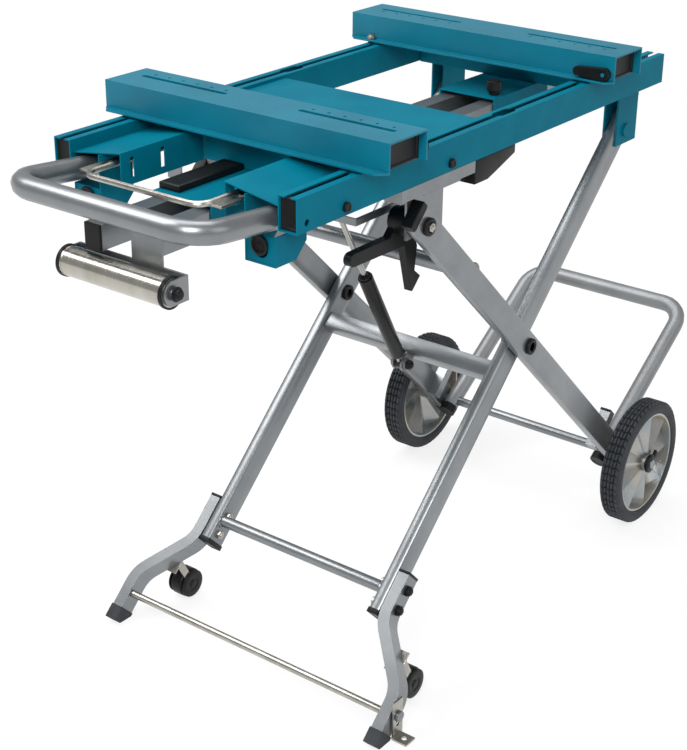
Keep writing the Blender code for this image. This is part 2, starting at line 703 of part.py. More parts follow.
def mounting_bar(name, x, inner):
    """A saw mounting bar with sliding shoes in the rails' slots and a clamp lever on its inner side."""
    half = BAR_WIDTH / 2
    wall = half - BAR_WALL
    top = BAR_TOP - BAR_WALL
    edge = half + BAR_FLANGE
    path = [(-edge, BAR_BOTTOM), (-wall, BAR_BOTTOM), (-wall, top),
            (wall, top), (wall, BAR_BOTTOM), (edge, BAR_BOTTOM)]
    bar = put(f"{name}_mounting_bar", plate(strip(path, BAR_WALL), BAR_LENGTH), TEAL, (x, 0, 0), ALONG_Y)
    pad_low = RAIL_TOP + RUN
    foot_top = RAIL_TOP - RAIL_WALL - RUN
    foot_low = foot_top - SHOE_FOOT_HEIGHT
    layers = ((RAIL_WIDTH - RAIL_WALL, pad_low, BAR_BOTTOM + WELD),
              (RAIL_SLOT - 2 * RUN, foot_top - WELD, pad_low + WELD),
              (SHOE_FOOT_WIDTH, foot_low, foot_top))
    for _, side in SIDES:
        for width, low, high in layers:
            weld(bar, block(BAR_WIDTH + BAR_FLANGE, width, high - low),
                 (x, side * RAIL_MID, (low + high) / 2))
    hub_z = BAR_BOTTOM + CLAMP_HUB_RISE
    face = x + inner * half
    stud_length = CLAMP_WIDTH + 2 * GAP + WELD
    weld(bar, rods(CLAMP_STUD_RADIUS, stud_length, sides=10),
         (face + inner * (stud_length / 2 - WELD), -CLAMP_HUB_Y, hub_z), ALONG_X)
    corner = BAR_CHAMFER * math.sqrt(2)
    for sx in (-1, 1):
        for sy in (-1, 1):
            boolean(bar, block(corner, corner, 4 * BAR_WALL),
                    (x + sx * edge, sy * BAR_LENGTH / 2, BAR_BOTTOM), (0, 0, math.pi / 4))
    slot_x = x + BAR_SLOT_SHIFT
    holes = []
    for sy in (-1, 1):
        boolean(bar, plate(stadium(BAR_SLOT_LENGTH, BAR_SLOT_WIDTH), 4 * BAR_WALL),
                (slot_x, sy * BAR_SLOT_Y, BAR_TOP))
        first = sy * BAR_SLOT_Y - BAR_HOLE_STEP * (BAR_HOLE_COUNT - 1) / 2
        holes += [(inner * BAR_HOLE_OFFSET, first + BAR_HOLE_STEP * i, 0) for i in range(BAR_HOLE_COUNT)]
    boolean(bar, rods(BAR_HOLE_RADIUS, 4 * BAR_WALL, holes, 8), (slot_x, 0, BAR_TOP))
    pivot = empty(f"{name}_clamp_frame", (face, -CLAMP_HUB_Y, hub_z), ROOT)
    outline = arc(0, 0, CLAMP_HUB_RADIUS, 90, 270) + arc(CLAMP_REACH, 0, CLAMP_TIP_RADIUS, -90, 90)
    hole = circle(0, 0, CLAMP_STUD_RADIUS + RUN, 10)
    put(f"{name}_clamp_lever", plate(outline, CLAMP_WIDTH, [hole]), BLACK,
        (face + inner * (GAP + CLAMP_WIDTH / 2), -CLAMP_HUB_Y, hub_z), ALONG_X, pivot)


def table_sheets():
    """The deck plate, the sloping side trays and the two cross members."""
    clear = RAIL_IN - GAP
    path = [(DECK_RIGHT, DECK_TOP - DECK_LIP), (DECK_RIGHT, DECK_TOP), (DECK_LEFT, DECK_TOP)]
    put("deck_plate", plate(strip(path, SHEET), 2 * clear), TEAL, turn=ALONG_Y)
    top = RAIL_TOP - TRAY_INNER_DROP
    path = [(clear, RAIL_TOP - TRAY_OUTER_DROP), (TRAY_INNER_Y, top), (TRAY_INNER_Y, top - TRAY_WALL_HEIGHT)]
    length = DECK_LEFT - GAP - TRAY_LEFT
    for name, side in SIDES:
        tray = put(f"{name}_side_tray", plate(strip(handed(path, side), SHEET), length), TEAL,
                   (TRAY_LEFT + length / 2, 0, 0), ALONG_X)
        for x in TRAY_SLOT_XS:
            boolean(tray, block(TRAY_SLOT_WIDTH, 4 * SHEET, TRAY_SLOT_HEIGHT),
                    (x, side * TRAY_INNER_Y, top - TRAY_WALL_HEIGHT / 2))
    path = [(MEMBER_DEPTH, MEMBER_TOP), (0, MEMBER_TOP), (0, MEMBER_BOTTOM), (MEMBER_DEPTH, MEMBER_BOTTOM)]
    member = plate(strip(path, SHEET), 2 * clear)
    front = put("front_cross_member", member, TEAL, (FRONT_MEMBER_X, 0, 0), ALONG_Y)
    put("rear_cross_member", member, TEAL, (REAR_MEMBER_X, 0, 0), ALONG_Y)
    for _, side in SIDES:
        boolean(front, block(4 * SHEET, LINK_WIDTH + 2 * RUN, LINK_THICKNESS + 2 * RUN),
                (FRONT_MEMBER_X, side * LINK_Y, LINK_Z))


def handle_z(x):
    """Height of the handle tube's axis."""
    return HANDLE_Z - HANDLE_TILT * x


def carry_handle():
    """The bent tube handle that runs on under the side trays."""
    corners = [(HANDLE_END_X, HANDLE_Y), (-HANDLE_REACH, HANDLE_Y), (-HANDLE_REACH, -HANDLE_Y),
               (HANDLE_END_X, -HANDLE_Y)]
    points = [(x, y, handle_z(x)) for x, y in corners]
    put("carry_handle", tube(bent(points, HANDLE_BEND), HANDLE_RADIUS), SILVER)


def release_bail():
    """The wire bail behind the handle bar and the flat links that it pulls."""
    frame = empty("release_frame", (-BAIL_REACH, 0, BAIL_Z), ROOT)
    corners = [(BAIL_END_X, BAIL_HALF), (-BAIL_REACH, BAIL_HALF),
               (-BAIL_REACH, -BAIL_HALF), (BAIL_END_X, -BAIL_HALF)]
    wire = tube(bent([(x, y, BAIL_Z) for x, y in corners], BAIL_BEND), BAIL_RADIUS, 2)
    length = LINK_RIGHT - LINK_LEFT
    hole_left = LINK_HOLE_X - length / 2
    hole = rectangle(hole_left, -LINK_HOLE_WIDTH / 2, hole_left + LINK_HOLE_LENGTH, LINK_HOLE_WIDTH / 2)
    link = plate(rectangle(-length / 2, -LINK_WIDTH / 2, length / 2, LINK_WIDTH / 2), LINK_THICKNESS, [hole])
    bail = put("release_bail", wire, ZINC, parent=frame)
    for _, side in SIDES:
        weld(bail, link, (LINK_LEFT + length / 2, side * LINK_Y, LINK_Z))


def tray_underside(y):
    """Height of the sloping tray's lower face at a distance from the middle."""
    slope = (TRAY_OUTER_DROP - TRAY_INNER_DROP) / (RAIL_IN - GAP - TRAY_INNER_Y)
    top = RAIL_TOP - TRAY_INNER_DROP - slope * (y - TRAY_INNER_Y)
    return top - SHEET * math.hypot(1, slope)


def end_brackets():
    """Folded brackets under the handle's arms, each with a round hole in its front."""
    inner_top = tray_underside(BRACKET_INNER_Y + SHEET) - GAP
    outer_top = handle_z(BRACKET_LENGTH) - HANDLE_RADIUS * math.hypot(1, HANDLE_TILT) - GAP
    middle = (BRACKET_INNER_Y + BRACKET_OUTER_Y) / 2
    path = [(BRACKET_INNER_Y, inner_top), (BRACKET_INNER_Y, BRACKET_BOTTOM),
            (BRACKET_OUTER_Y, BRACKET_BOTTOM), (BRACKET_OUTER_Y, outer_top)]
    face = rectangle(BRACKET_INNER_Y + WELD, BRACKET_BOTTOM + WELD, BRACKET_OUTER_Y - WELD, outer_top - WELD)
    hole = circle(middle, (BRACKET_BOTTOM + outer_top) / 2, BRACKET_HOLE_RADIUS)
    chamfer = BRACKET_CHAMFER * math.sqrt(2)
    for name, side in SIDES:
        bracket = put(f"{name}_end_bracket", plate(strip(handed(path, side), SHEET), BRACKET_LENGTH), TEAL,
                      (BRACKET_LENGTH / 2, 0, 0), ALONG_X)
        weld(bracket, plate(handed(face, side), SHEET, [handed(hole, side)]), (SHEET, 0, 0), ALONG_X)
        boolean(bracket, block(chamfer, 2 * (BRACKET_OUTER_Y - BRACKET_INNER_Y), chamfer),
                (BRACKET_LENGTH, side * middle, BRACKET_BOTTOM), (0, math.pi / 4, 0))


def pivot_brackets():
    """Channels under the rails that hold the foot legs' top pivots on riveted pins."""
    wall = PIVOT_BRACKET_WALL
    inner = FOOT_LEG_IN - RUN - wall
    outer = FOOT_LEG_OUT + RUN + wall
    left = PIVOT_X - PIVOT_BRACKET_LEFT
    right = PIVOT_X + PIVOT_BRACKET_RIGHT + wall
    low = PIVOT_Z - PIVOT_BRACKET_BELOW
    height = RAIL_BOTTOM - GAP - low
    path = [(left, inner), (right, inner), (right, outer), (left, outer)]
    pin = bolt(16, inner - PIN_HEAD_HEIGHT, (PIN_HEAD_RADIUS, inner + WELD), (PIN_RADIUS, outer - WELD),
               (PIN_HEAD_RADIUS, outer + PIN_HEAD_HEIGHT))
    for name, side in SIDES:
        bracket = put(f"{name}_pivot_bracket", plate(strip(handed(path, side, 1), wall), height), TEAL,
                      (0, 0, low + height / 2))
        weld(bracket, pin, foot_leg(0), outward(side))


def arm_guides():
    """Box guides round the extension arms, with a lock screw on each."""
    outer = rectangle(-GUIDE_OUT, GUIDE_BOTTOM, GUIDE_OUT, GUIDE_TOP)
    inside = rectangle(-GUIDE_OUT + GUIDE_WALL, GUIDE_BOTTOM + GUIDE_WALL, GUIDE_OUT - GUIDE_WALL,
                       GUIDE_TOP - GUIDE_WALL)
    arm_z = (ARM_TOP + ARM_BOTTOM) / 2
    side_lock = ((FRONT_LOCK_X, 0, arm_z), outward(1), ARM_OUT + RUN, GUIDE_OUT)
    top_lock = ((REAR_LOCK_X, -ARM_Y, 0), FLAT, ARM_TOP + RUN, GUIDE_TOP)
    guides = (("front", FRONT_GUIDE_LEFT, FRONT_GUIDE_LENGTH, side_lock),
              ("rear", REAR_GUIDE_LEFT, REAR_GUIDE_LENGTH, top_lock))
    for name, left, length, (place, turn, stem_low, wall) in guides:
        guide = put(f"{name}_arm_guide", plate(outer, length, [inside]), TEAL,
                    (left + length / 2, 0, 0), ALONG_X)
        axis = Euler(turn).to_matrix() @ Vector((0, 0, wall))
        boolean(guide, rods(LOCK_STEM_RADIUS + RUN, 4 * GUIDE_WALL), Vector(place) + axis, turn)
        low = wall + RUN
        knob = bolt(18, stem_low, (LOCK_STEM_RADIUS, low), (LOCK_NECK_RADIUS, low + LOCK_NECK),
                    (LOCK_RADIUS, low + LOCK_LENGTH))
        frame = empty(f"{name}_lock_frame", place, ROOT)
        put(f"{name}_arm_lock", knob, BLACK, place, turn, frame)


def extension(name, roller_x, outside):
    """One extension: its arm with an end plug, the yoke with its axle, and the work roller."""
    y = outside * ARM_Y
    centre = (roller_x, outside * ROLLER_SIDE, ROLLER_Z)
    back = roller_x - outside * (YOKE_BACK + YOKE_THICKNESS + GAP)
    inner_end = back - outside * ARM_LENGTH
    arm_z = (ARM_TOP + ARM_BOTTOM) / 2
    frame = empty(f"{name}_arm_frame", centre, ROOT)
    outer = rectangle(-ARM_WIDTH / 2, -ARM_HEIGHT / 2, ARM_WIDTH / 2, ARM_HEIGHT / 2)
    bore_width = ARM_WIDTH - 2 * ARM_WALL
    bore_height = ARM_HEIGHT - 2 * ARM_WALL
    bore = rectangle(-bore_width / 2, -bore_height / 2, bore_width / 2, bore_height / 2)
    put(f"{name}_arm", plate(outer, ARM_LENGTH, [bore]), SILVER,
        ((back + inner_end) / 2, y, arm_z), ALONG_X, frame)
    ear_in = ROLLER_LENGTH / 2 + GAP
    ear_mid = ear_in + YOKE_THICKNESS / 2
    plate_x = roller_x - outside * (YOKE_BACK + YOKE_THICKNESS / 2)
    back_plate = block(YOKE_THICKNESS, 2 * (ear_in + YOKE_THICKNESS), 2 * YOKE_EAR_RADIUS)
    yoke = put(f"{name}_roller_yoke", back_plate, SILVER, (plate_x, centre[1], ROLLER_Z), FLAT, frame)
    reach = YOKE_BACK + YOKE_THICKNESS / 2
    ear = [(-reach, -YOKE_EAR_RADIUS), *arc(0, 0, YOKE_EAR_RADIUS, -90, 90, 10), (-reach, YOKE_EAR_RADIUS)]
    ear = [(outside * x, z) for x, z in ear]
    for _, side in SIDES:
        weld(yoke, plate(ear, YOKE_THICKNESS), (roller_x, centre[1] + side * ear_mid, ROLLER_Z), ALONG_Y)
    tab_top = ARM_TOP - ARM_WALL
    weld(yoke, block(YOKE_THICKNESS, YOKE_TAB_WIDTH, tab_top - ROLLER_Z),
         (plate_x, y, (tab_top + ROLLER_Z) / 2))
    end = ear_in + YOKE_THICKNESS
    axle = bolt(12, -end - BOLT_HEAD_HEIGHT, (BOLT_HEAD_RADIUS, WELD - end),
                (ROLLER_AXLE_RADIUS, end - WELD), (BOLT_HEAD_RADIUS, end + BOLT_HEAD_HEIGHT))
    weld(yoke, axle, centre, ALONG_Y)
    plug = put(f"{name}_arm_plug", block(PLUG_FLANGE, ARM_WIDTH, ARM_HEIGHT), BLACK,
               (inner_end - outside * (GAP + PLUG_FLANGE / 2), y, arm_z), FLAT, frame)
    shank = PLUG_SHANK + GAP + WELD
    weld(plug, block(shank, bore_width - 2 * GAP, bore_height - 2 * GAP),
         (inner_end + outside * (PLUG_SHANK - shank / 2), y, arm_z))
    spin = empty(f"{name}_roller_frame", centre, frame)
    end = ROLLER_LENGTH / 2
    ring = end - ROLLER_RING
    bore = ROLLER_AXLE_RADIUS + RUN
    rim = ROLLER_RADIUS + ROLLER_RING_RISE
    profile = [(bore, end), (rim, end), (rim, ring), (ROLLER_RADIUS, ring), (ROLLER_RADIUS, -ring),
               (rim, -ring), (rim, -end), (bore, -end)]
    put(f"{name}_roller", turned(profile, 20), ZINC, centre, ALONG_Y, spin)


def leg_turn(slope):
    """The turn that lays an outline's thickness along a leg of the given slope."""
    return (Matrix.Rotation(slope, 3, "Y") @ Euler(ALONG_X).to_matrix()).to_euler()


def leg_tube(name, start, end, side_y, locate, slope, parent):
    """A hollow leg tube between two distances on its line."""
    outer = rounded(LEG_THICKNESS, LEG_DEPTH, LEG_CORNER)
    inner = rounded(LEG_THICKNESS - 2 * LEG_WALL, LEG_DEPTH - 2 * LEG_WALL, LEG_CORNER - LEG_WALL)
    place = locate((start + end) / 2, 0, side_y)
    tube_turn = leg_turn(slope)
    leg = put(name, plate(outer, end - start), SILVER, place, tube_turn, parent)
    boolean(leg, plate(inner, end - start + 2 * WELD), place, tube_turn)
    return leg


def end_cap():
    """A flat cap on a leg tube's lower end, just inside the tube's faces."""
    return block(CAP_FLANGE, LEG_THICKNESS - 2 * GAP, LEG_DEPTH - 2 * GAP)


def foot_legs():
    """The inner legs with their crossing pins and end caps, and the tubes across."""
    leg_end = FLOOR_S - LEG_END_UP
    pin_end = WHEEL_LEG_OUT + RUN
    pin = bolt(16, FOOT_LEG_IN - PIN_HEAD_HEIGHT, (PIN_HEAD_RADIUS, FOOT_LEG_IN + WELD),
               (PIN_RADIUS, pin_end), (PIN_HEAD_RADIUS, pin_end + PIN_HEAD_HEIGHT))
    for name, side in SIDES:
        y = side * FOOT_LEG_Y
        leg = leg_tube(f"{name}_foot_leg", -FOOT_LEG_TOP, leg_end, y, foot_leg, -OPEN_ANGLE, FOOT_LEGS)
        boolean(leg, rods(PIN_RADIUS + RUN, 2 * LEG_THICKNESS), foot_leg(0, 0, y), ALONG_Y)
        weld(leg, pin, foot_leg(SCISSOR_ARM), outward(side))
        weld(leg, end_cap(), foot_leg(leg_end + CAP_FLANGE / 2 - WELD, 0, y), UP_FOOT_LEG)
    span = 2 * (FOOT_LEG_IN - GAP)
    section = rounded(MID_TUBE_SIZE, MID_TUBE_SIZE, LEG_CORNER)
    across = (math.pi / 2, -OPEN_ANGLE, 0)
    mid = put("mid_cross_tube", plate(section, span), SILVER, foot_leg(MID_TUBE_S), across, FOOT_LEGS)
    radius = STRUT_EYE_RADIUS + STRUT_PLATE
    start = MID_TUBE_SIZE / 2 - WELD
    lug = [(-start, -radius), (-start, radius), *arc(-STRUT_LUG_REACH, 0, radius, 90, 270)]
    for _, side in SIDES:
        lug_y = side * (STRUT_SIDE + STRUT_PLATE / 2)
        weld(mid, plate(lug, STRUT_PLATE), foot_leg(MID_TUBE_S, 0, lug_y), across)
    end = STRUT_SIDE + STRUT_PLATE
    pin = bolt(12, -end - PIN_HEAD_HEIGHT, (STRUT_EYE_RADIUS, WELD - end), (STRUT_PIN_RADIUS, end - WELD),
               (STRUT_EYE_RADIUS, end + PIN_HEAD_HEIGHT))
    weld(mid, pin, foot_leg(STRUT_LOW_S), ALONG_Y)
    put("low_cross_tube", rods(LOW_TUBE_RADIUS, span), SILVER, up_leg(LOW_TUBE_UP, LOW_TUBE_SHIFT), ALONG_Y,
        FOOT_LEGS)


def feet():
    """Splayed feet bolted outside the legs, their rubber shoes and the tie rod between them."""
    sides = 2 * (SHOE_WALL + GAP)
    below = 4 * FOOT_DEPTH
    pocket = FOOT_TOP_UP - FOOT_END_UP + GAP
    face = FOOT_Y + FOOT_THICKNESS / 2
    head = bolt(12, face - WELD, (FOOT_BOLT_RADIUS, face + BOLT_HEAD_HEIGHT))
    made = {}
    for name, side in SIDES:
        route = [(-FLOOR_S + FOOT_TOP_UP, FOOT_Y, 0), (-FLOOR_S + FOOT_BEND_UP, FOOT_Y, 0),
                 (-FLOOR_S + FOOT_SPLAY_UP, FOOT_LOW_Y, 0), (-FLOOR_S + FOOT_END_UP, FOOT_LOW_Y, 0)]
        middle = [(x, side * y) for x, y, _ in bent(route, FOOT_BEND, 6)]
        band = offset(middle, FOOT_THICKNESS / 2) + offset(middle, -FOOT_THICKNESS / 2)[::-1]
        foot = put(f"{name}_foot", plate(band, FOOT_DEPTH), SILVER,
                   foot_leg(0, FOOT_SHIFT), UP_FOOT_LEG, FOOT_LEGS)
        for up in FOOT_BOLT_UPS:
            weld(foot, head, up_leg(up, FOOT_SHIFT), outward(side))
        made[side] = foot
        low_y = side * FOOT_LOW_Y
        shoe = put(f"{name}_foot_shoe", block(SHOE_UP, FOOT_THICKNESS + sides, FOOT_DEPTH + sides), RUBBER,
                   up_leg(SHOE_UP / 2, FOOT_SHIFT, low_y), UP_FOOT_LEG, FOOT_LEGS)
        boolean(shoe, block(pocket, FOOT_THICKNESS + 2 * GAP, FOOT_DEPTH + 2 * GAP),
                up_leg(FOOT_END_UP - GAP + pocket / 2, FOOT_SHIFT, low_y), UP_FOOT_LEG)
        boolean(shoe, block(below, below, below), (up_leg(0)[0], low_y, -below / 2))
    rod_length = 2 * (FOOT_LOW_Y - FOOT_THICKNESS / 2 - GAP)
    put("foot_tie_rod", rods(FOOT_ROD_RADIUS, rod_length), ZINC,
        up_leg(FOOT_ROD_UP, FOOT_SHIFT + FOOT_ROD_SHIFT), ALONG_Y, FOOT_LEGS)
    levelling_foot(made[-1])


def levelling_foot(foot):
    """The slotted levelling foot outside the near foot, and the bolt that clamps it there."""
    tab_x = up_leg(TAB_BOLT_HEIGHT / SIN, FOOT_SHIFT)[0]
    tab_face = TAB_IN + TAB_THICKNESS + RUN
    tab_bolt = bolt(12, FOOT_OUT - WELD, (2 * TAB_BOLT_RADIUS, TAB_IN - RUN), (TAB_BOLT_RADIUS, tab_face),
                    (2 * TAB_BOLT_RADIUS, tab_face + BOLT_HEAD_HEIGHT))
    weld(foot, tab_bolt, (tab_x, 0, TAB_BOLT_HEIGHT), outward(-1))
    path = [(-TAB_OUT, 0), (-TAB_IN, 0), (-TAB_IN, TAB_HEIGHT)]
    tab = put("levelling_foot", plate(strip(path, TAB_THICKNESS), TAB_WIDTH), ZINC,
              (tab_x, 0, 0), ALONG_X, FOOT_LEGS)
    slot_width = 2 * (TAB_BOLT_RADIUS + RUN)
    slot = plate(stadium(slot_width + TAB_TRAVEL, slot_width), 4 * TAB_THICKNESS)
    boolean(tab, slot, (tab_x, -TAB_IN, TAB_BOLT_HEIGHT - TAB_TRAVEL / 2), ALONG_Y)
    boolean(tab, rods(TAB_HOLE_RADIUS, 4 * TAB_THICKNESS, sides=12),
            (tab_x, -(TAB_IN + TAB_THICKNESS + TAB_OUT) / 2, 0))


def casters():
    """Small wheels behind the feet, in sheet forks on the feet's rear faces."""
    rear = FOOT_SHIFT - FOOT_DEPTH / 2 - GAP
    axis_x, _, axis_z = foot_leg(CASTER_S, -CASTER_BACK)
    cheek_mid = CASTER_WIDTH / 2 + RUN + FORK_WALL / 2
    edge_n = rear - FORK_WALL / 4
    top = up_leg(FORK_TOP_UP, edge_n)
    low = up_leg(FORK_LOW_UP, edge_n)
    eye = arc(axis_x, axis_z, FORK_EYE_RADIUS, *FORK_EYE_ARC)
    cheek = plate([(top[0], top[2]), (low[0], low[2]), *eye], FORK_WALL)
    web = block(FORK_TOP_UP - FORK_LOW_UP, 2 * cheek_mid, FORK_WALL)
    pin = rods(CASTER_PIN_RADIUS, 2 * cheek_mid + 2 * FORK_WALL, sides=12)
    bore = CASTER_PIN_RADIUS + RUN
    half = CASTER_WIDTH / 2
    face = CASTER_RADIUS - CASTER_EDGE
    upper = [(bore, half), (face, half), (CASTER_RADIUS, half - CASTER_EDGE)]
    profile = upper + [(radius, -height) for radius, height in reversed(upper)]
    for name, side in SIDES:
        web_place = up_leg((FORK_TOP_UP + FORK_LOW_UP) / 2, rear - FORK_WALL / 2, side * CASTER_Y)
        fork = put(f"{name}_caster_fork", web, ZINC, web_place, UP_FOOT_LEG, FOOT_LEGS)
        for inner in (-1, 1):
            weld(fork, cheek, (0, side * CASTER_Y + inner * cheek_mid, 0), ALONG_Y)
        weld(fork, pin, (axis_x, side * CASTER_Y, axis_z), ALONG_Y)
        frame = empty(f"{name}_caster_frame", (axis_x, side * CASTER_Y, axis_z), FOOT_LEGS)
        put(f"{name}_caster", turned(profile, 18), BLACK, (axis_x, side * CASTER_Y, axis_z), ALONG_Y, frame)


def wheel_legs():
    """The outer legs with fold stops and caps, their cross tube, axle with clips, and rest bar."""
    tail = AXLE_S + WHEEL_LEG_TAIL
    stub_low = LEG_DEPTH / 2
    stub_mid = (STUB_RISE - stub_low) / 2
    bore = AXLE_RADIUS + GAP
    clip_low = WHEEL_Y + WHEEL_WIDTH / 2 + RUN
    clip_high = clip_low + CLIP_WIDTH
    clip = turned([(bore, clip_high), (CLIP_RADIUS, clip_high), (CLIP_RADIUS, clip_low), (bore, clip_low)])
    for name, side in SIDES:
        y = side * WHEEL_LEG_Y
        leg = leg_tube(f"{name}_wheel_leg", -WHEEL_LEG_TOP, tail, y, wheel_leg, OPEN_ANGLE, WHEEL_LEGS)
        weld(leg, block(STUB_SIZE, STUB_SIZE + WELD, STUB_RISE + stub_low),
             wheel_leg(AXLE_S - STUB_BEFORE_AXLE, stub_mid, side * (WHEEL_LEG_IN - (STUB_SIZE - WELD) / 2)),
             DOWN_WHEEL_LEG)
        weld(leg, end_cap(), wheel_leg(tail + CAP_FLANGE / 2 - WELD, 0, y), DOWN_WHEEL_LEG)
        for s, radius in ((0, PIN_RADIUS), (SCISSOR_ARM, PIN_RADIUS), (AXLE_S, AXLE_RADIUS)):
            boolean(leg, rods(radius + RUN, 2 * LEG_THICKNESS), wheel_leg(s, 0, y), ALONG_Y)
        cap = put(f"{name}_wheel_leg_cap", block(WHEEL_CAP, LEG_THICKNESS, LEG_DEPTH), BLACK,
                  wheel_leg(-WHEEL_LEG_TOP - GAP - WHEEL_CAP / 2, 0, y), DOWN_WHEEL_LEG, WHEEL_LEGS)
        shank = PLUG_SHANK + GAP + WELD
        fit = 2 * (LEG_WALL + GAP)
        weld(cap, plate(rounded(LEG_THICKNESS - fit, LEG_DEPTH - fit, LEG_CORNER - LEG_WALL), shank),
             wheel_leg(-WHEEL_LEG_TOP + PLUG_SHANK - shank / 2, 0, y), leg_turn(OPEN_ANGLE))
        put(f"{name}_axle_clip", clip, BLACK, wheel_leg(AXLE_S), outward(side), WHEEL_LEGS)
    put("high_cross_tube", rods(HIGH_TUBE_RADIUS, 2 * (WHEEL_LEG_IN - GAP), sides=20), SILVER,
        wheel_leg(HIGH_TUBE_S, HIGH_TUBE_SHIFT), ALONG_Y, WHEEL_LEGS)
    collar_in = WHEEL_LEG_OUT + GAP
    collar_out = WHEEL_LEG_OUT + WHEEL_INSIDE - RUN
    end = WHEEL_Y + WHEEL_WIDTH / 2 + AXLE_END
    axle = bolt(20, -end, (AXLE_RADIUS, -collar_out), (AXLE_COLLAR_RADIUS, -collar_in),
                (AXLE_RADIUS, collar_in), (AXLE_COLLAR_RADIUS, collar_out), (AXLE_RADIUS, end))
    put("wheel_axle", axle, ZINC, wheel_leg(AXLE_S), ALONG_Y, WHEEL_LEGS)
    axle_x, _, axle_z = wheel_leg(AXLE_S)
    run_x = math.cos(REST_ANGLE)
    run_z = math.sin(REST_ANGLE)
    route = [(distance * run_x, y, distance * run_z)
             for distance, y in ((-REST_TAIL, REST_Y), (REST_REACH, REST_Y), (REST_REACH, -REST_Y),
                                 (-REST_TAIL, -REST_Y))]
    rest = put("rest_bar", tube(bent(route, REST_BEND), REST_RADIUS), SILVER,
               (axle_x, 0, axle_z), FLAT, WHEEL_LEGS)
    boolean(rest, rods(bore, FRAME_WIDTH, sides=20), (axle_x, 0, axle_z), ALONG_Y)


def spokes(inner, outer):
    """Ridged spokes between two radii, widening to the rim, about local z."""
    def build(bm):
        length = outer - inner
        for i in range(RIM_SPOKES):
            made = bmesh.ops.create_cone(bm, cap_ends=True, segments=4, radius1=SPOKE_TIP,
                                         radius2=SPOKE_ROOT, depth=length)
            place = (Matrix.Rotation(2 * math.pi * i / RIM_SPOKES, 4, "Z")
                     @ Matrix.Translation((inner + length / 2, 0, 0))
                     @ Matrix.Diagonal((1, 1, SPOKE_RIDGE, 1))
                     @ Matrix.Rotation(-math.pi / 2, 4, "Y"))
            bmesh.ops.transform(bm, matrix=place, verts=made["verts"])
    return mesh_of(build)


def wheels():
    """Moulded rims with ridged spokes, and their tyres."""
    half = WHEEL_WIDTH / 2
    tyre_in = WHEEL_RADIUS - TYRE_DEPTH
    band_out = tyre_in - GAP
    band_in = band_out - RIM_BAND
    band = half - RIM_INSET
    web = RIM_WEB / 2
    bore = AXLE_RADIUS + RUN
    upper = [(bore, half), (HUB_RADIUS, half), (HUB_RADIUS, web), (band_in, web), (band_in, band),
             (band_out, band)]
    rim_profile = upper + [(radius, -height) for radius, height in reversed(upper)]
    side_high = WHEEL_RADIUS - TYRE_SHOULDER
    upper = [(tyre_in, half), (side_high, half), (WHEEL_RADIUS, half - TYRE_SHOULDER)]
    tyre_profile = upper + [(radius, -height) for radius, height in reversed(upper)]
    for name, side in SIDES:
        centre = wheel_leg(AXLE_S, 0, side * WHEEL_Y)
        frame = empty(f"{name}_wheel_frame", centre, WHEEL_LEGS)
        rim = put(f"{name}_wheel_rim", turned(rim_profile, 24), RIM_GREY, centre, ALONG_Y, frame)
        weld(rim, spokes(HUB_RADIUS - WELD, band_in + WELD), centre, ALONG_Y)
        put(f"{name}_wheel_tyre", turned(tyre_profile, 40), RUBBER, centre, ALONG_Y, frame)


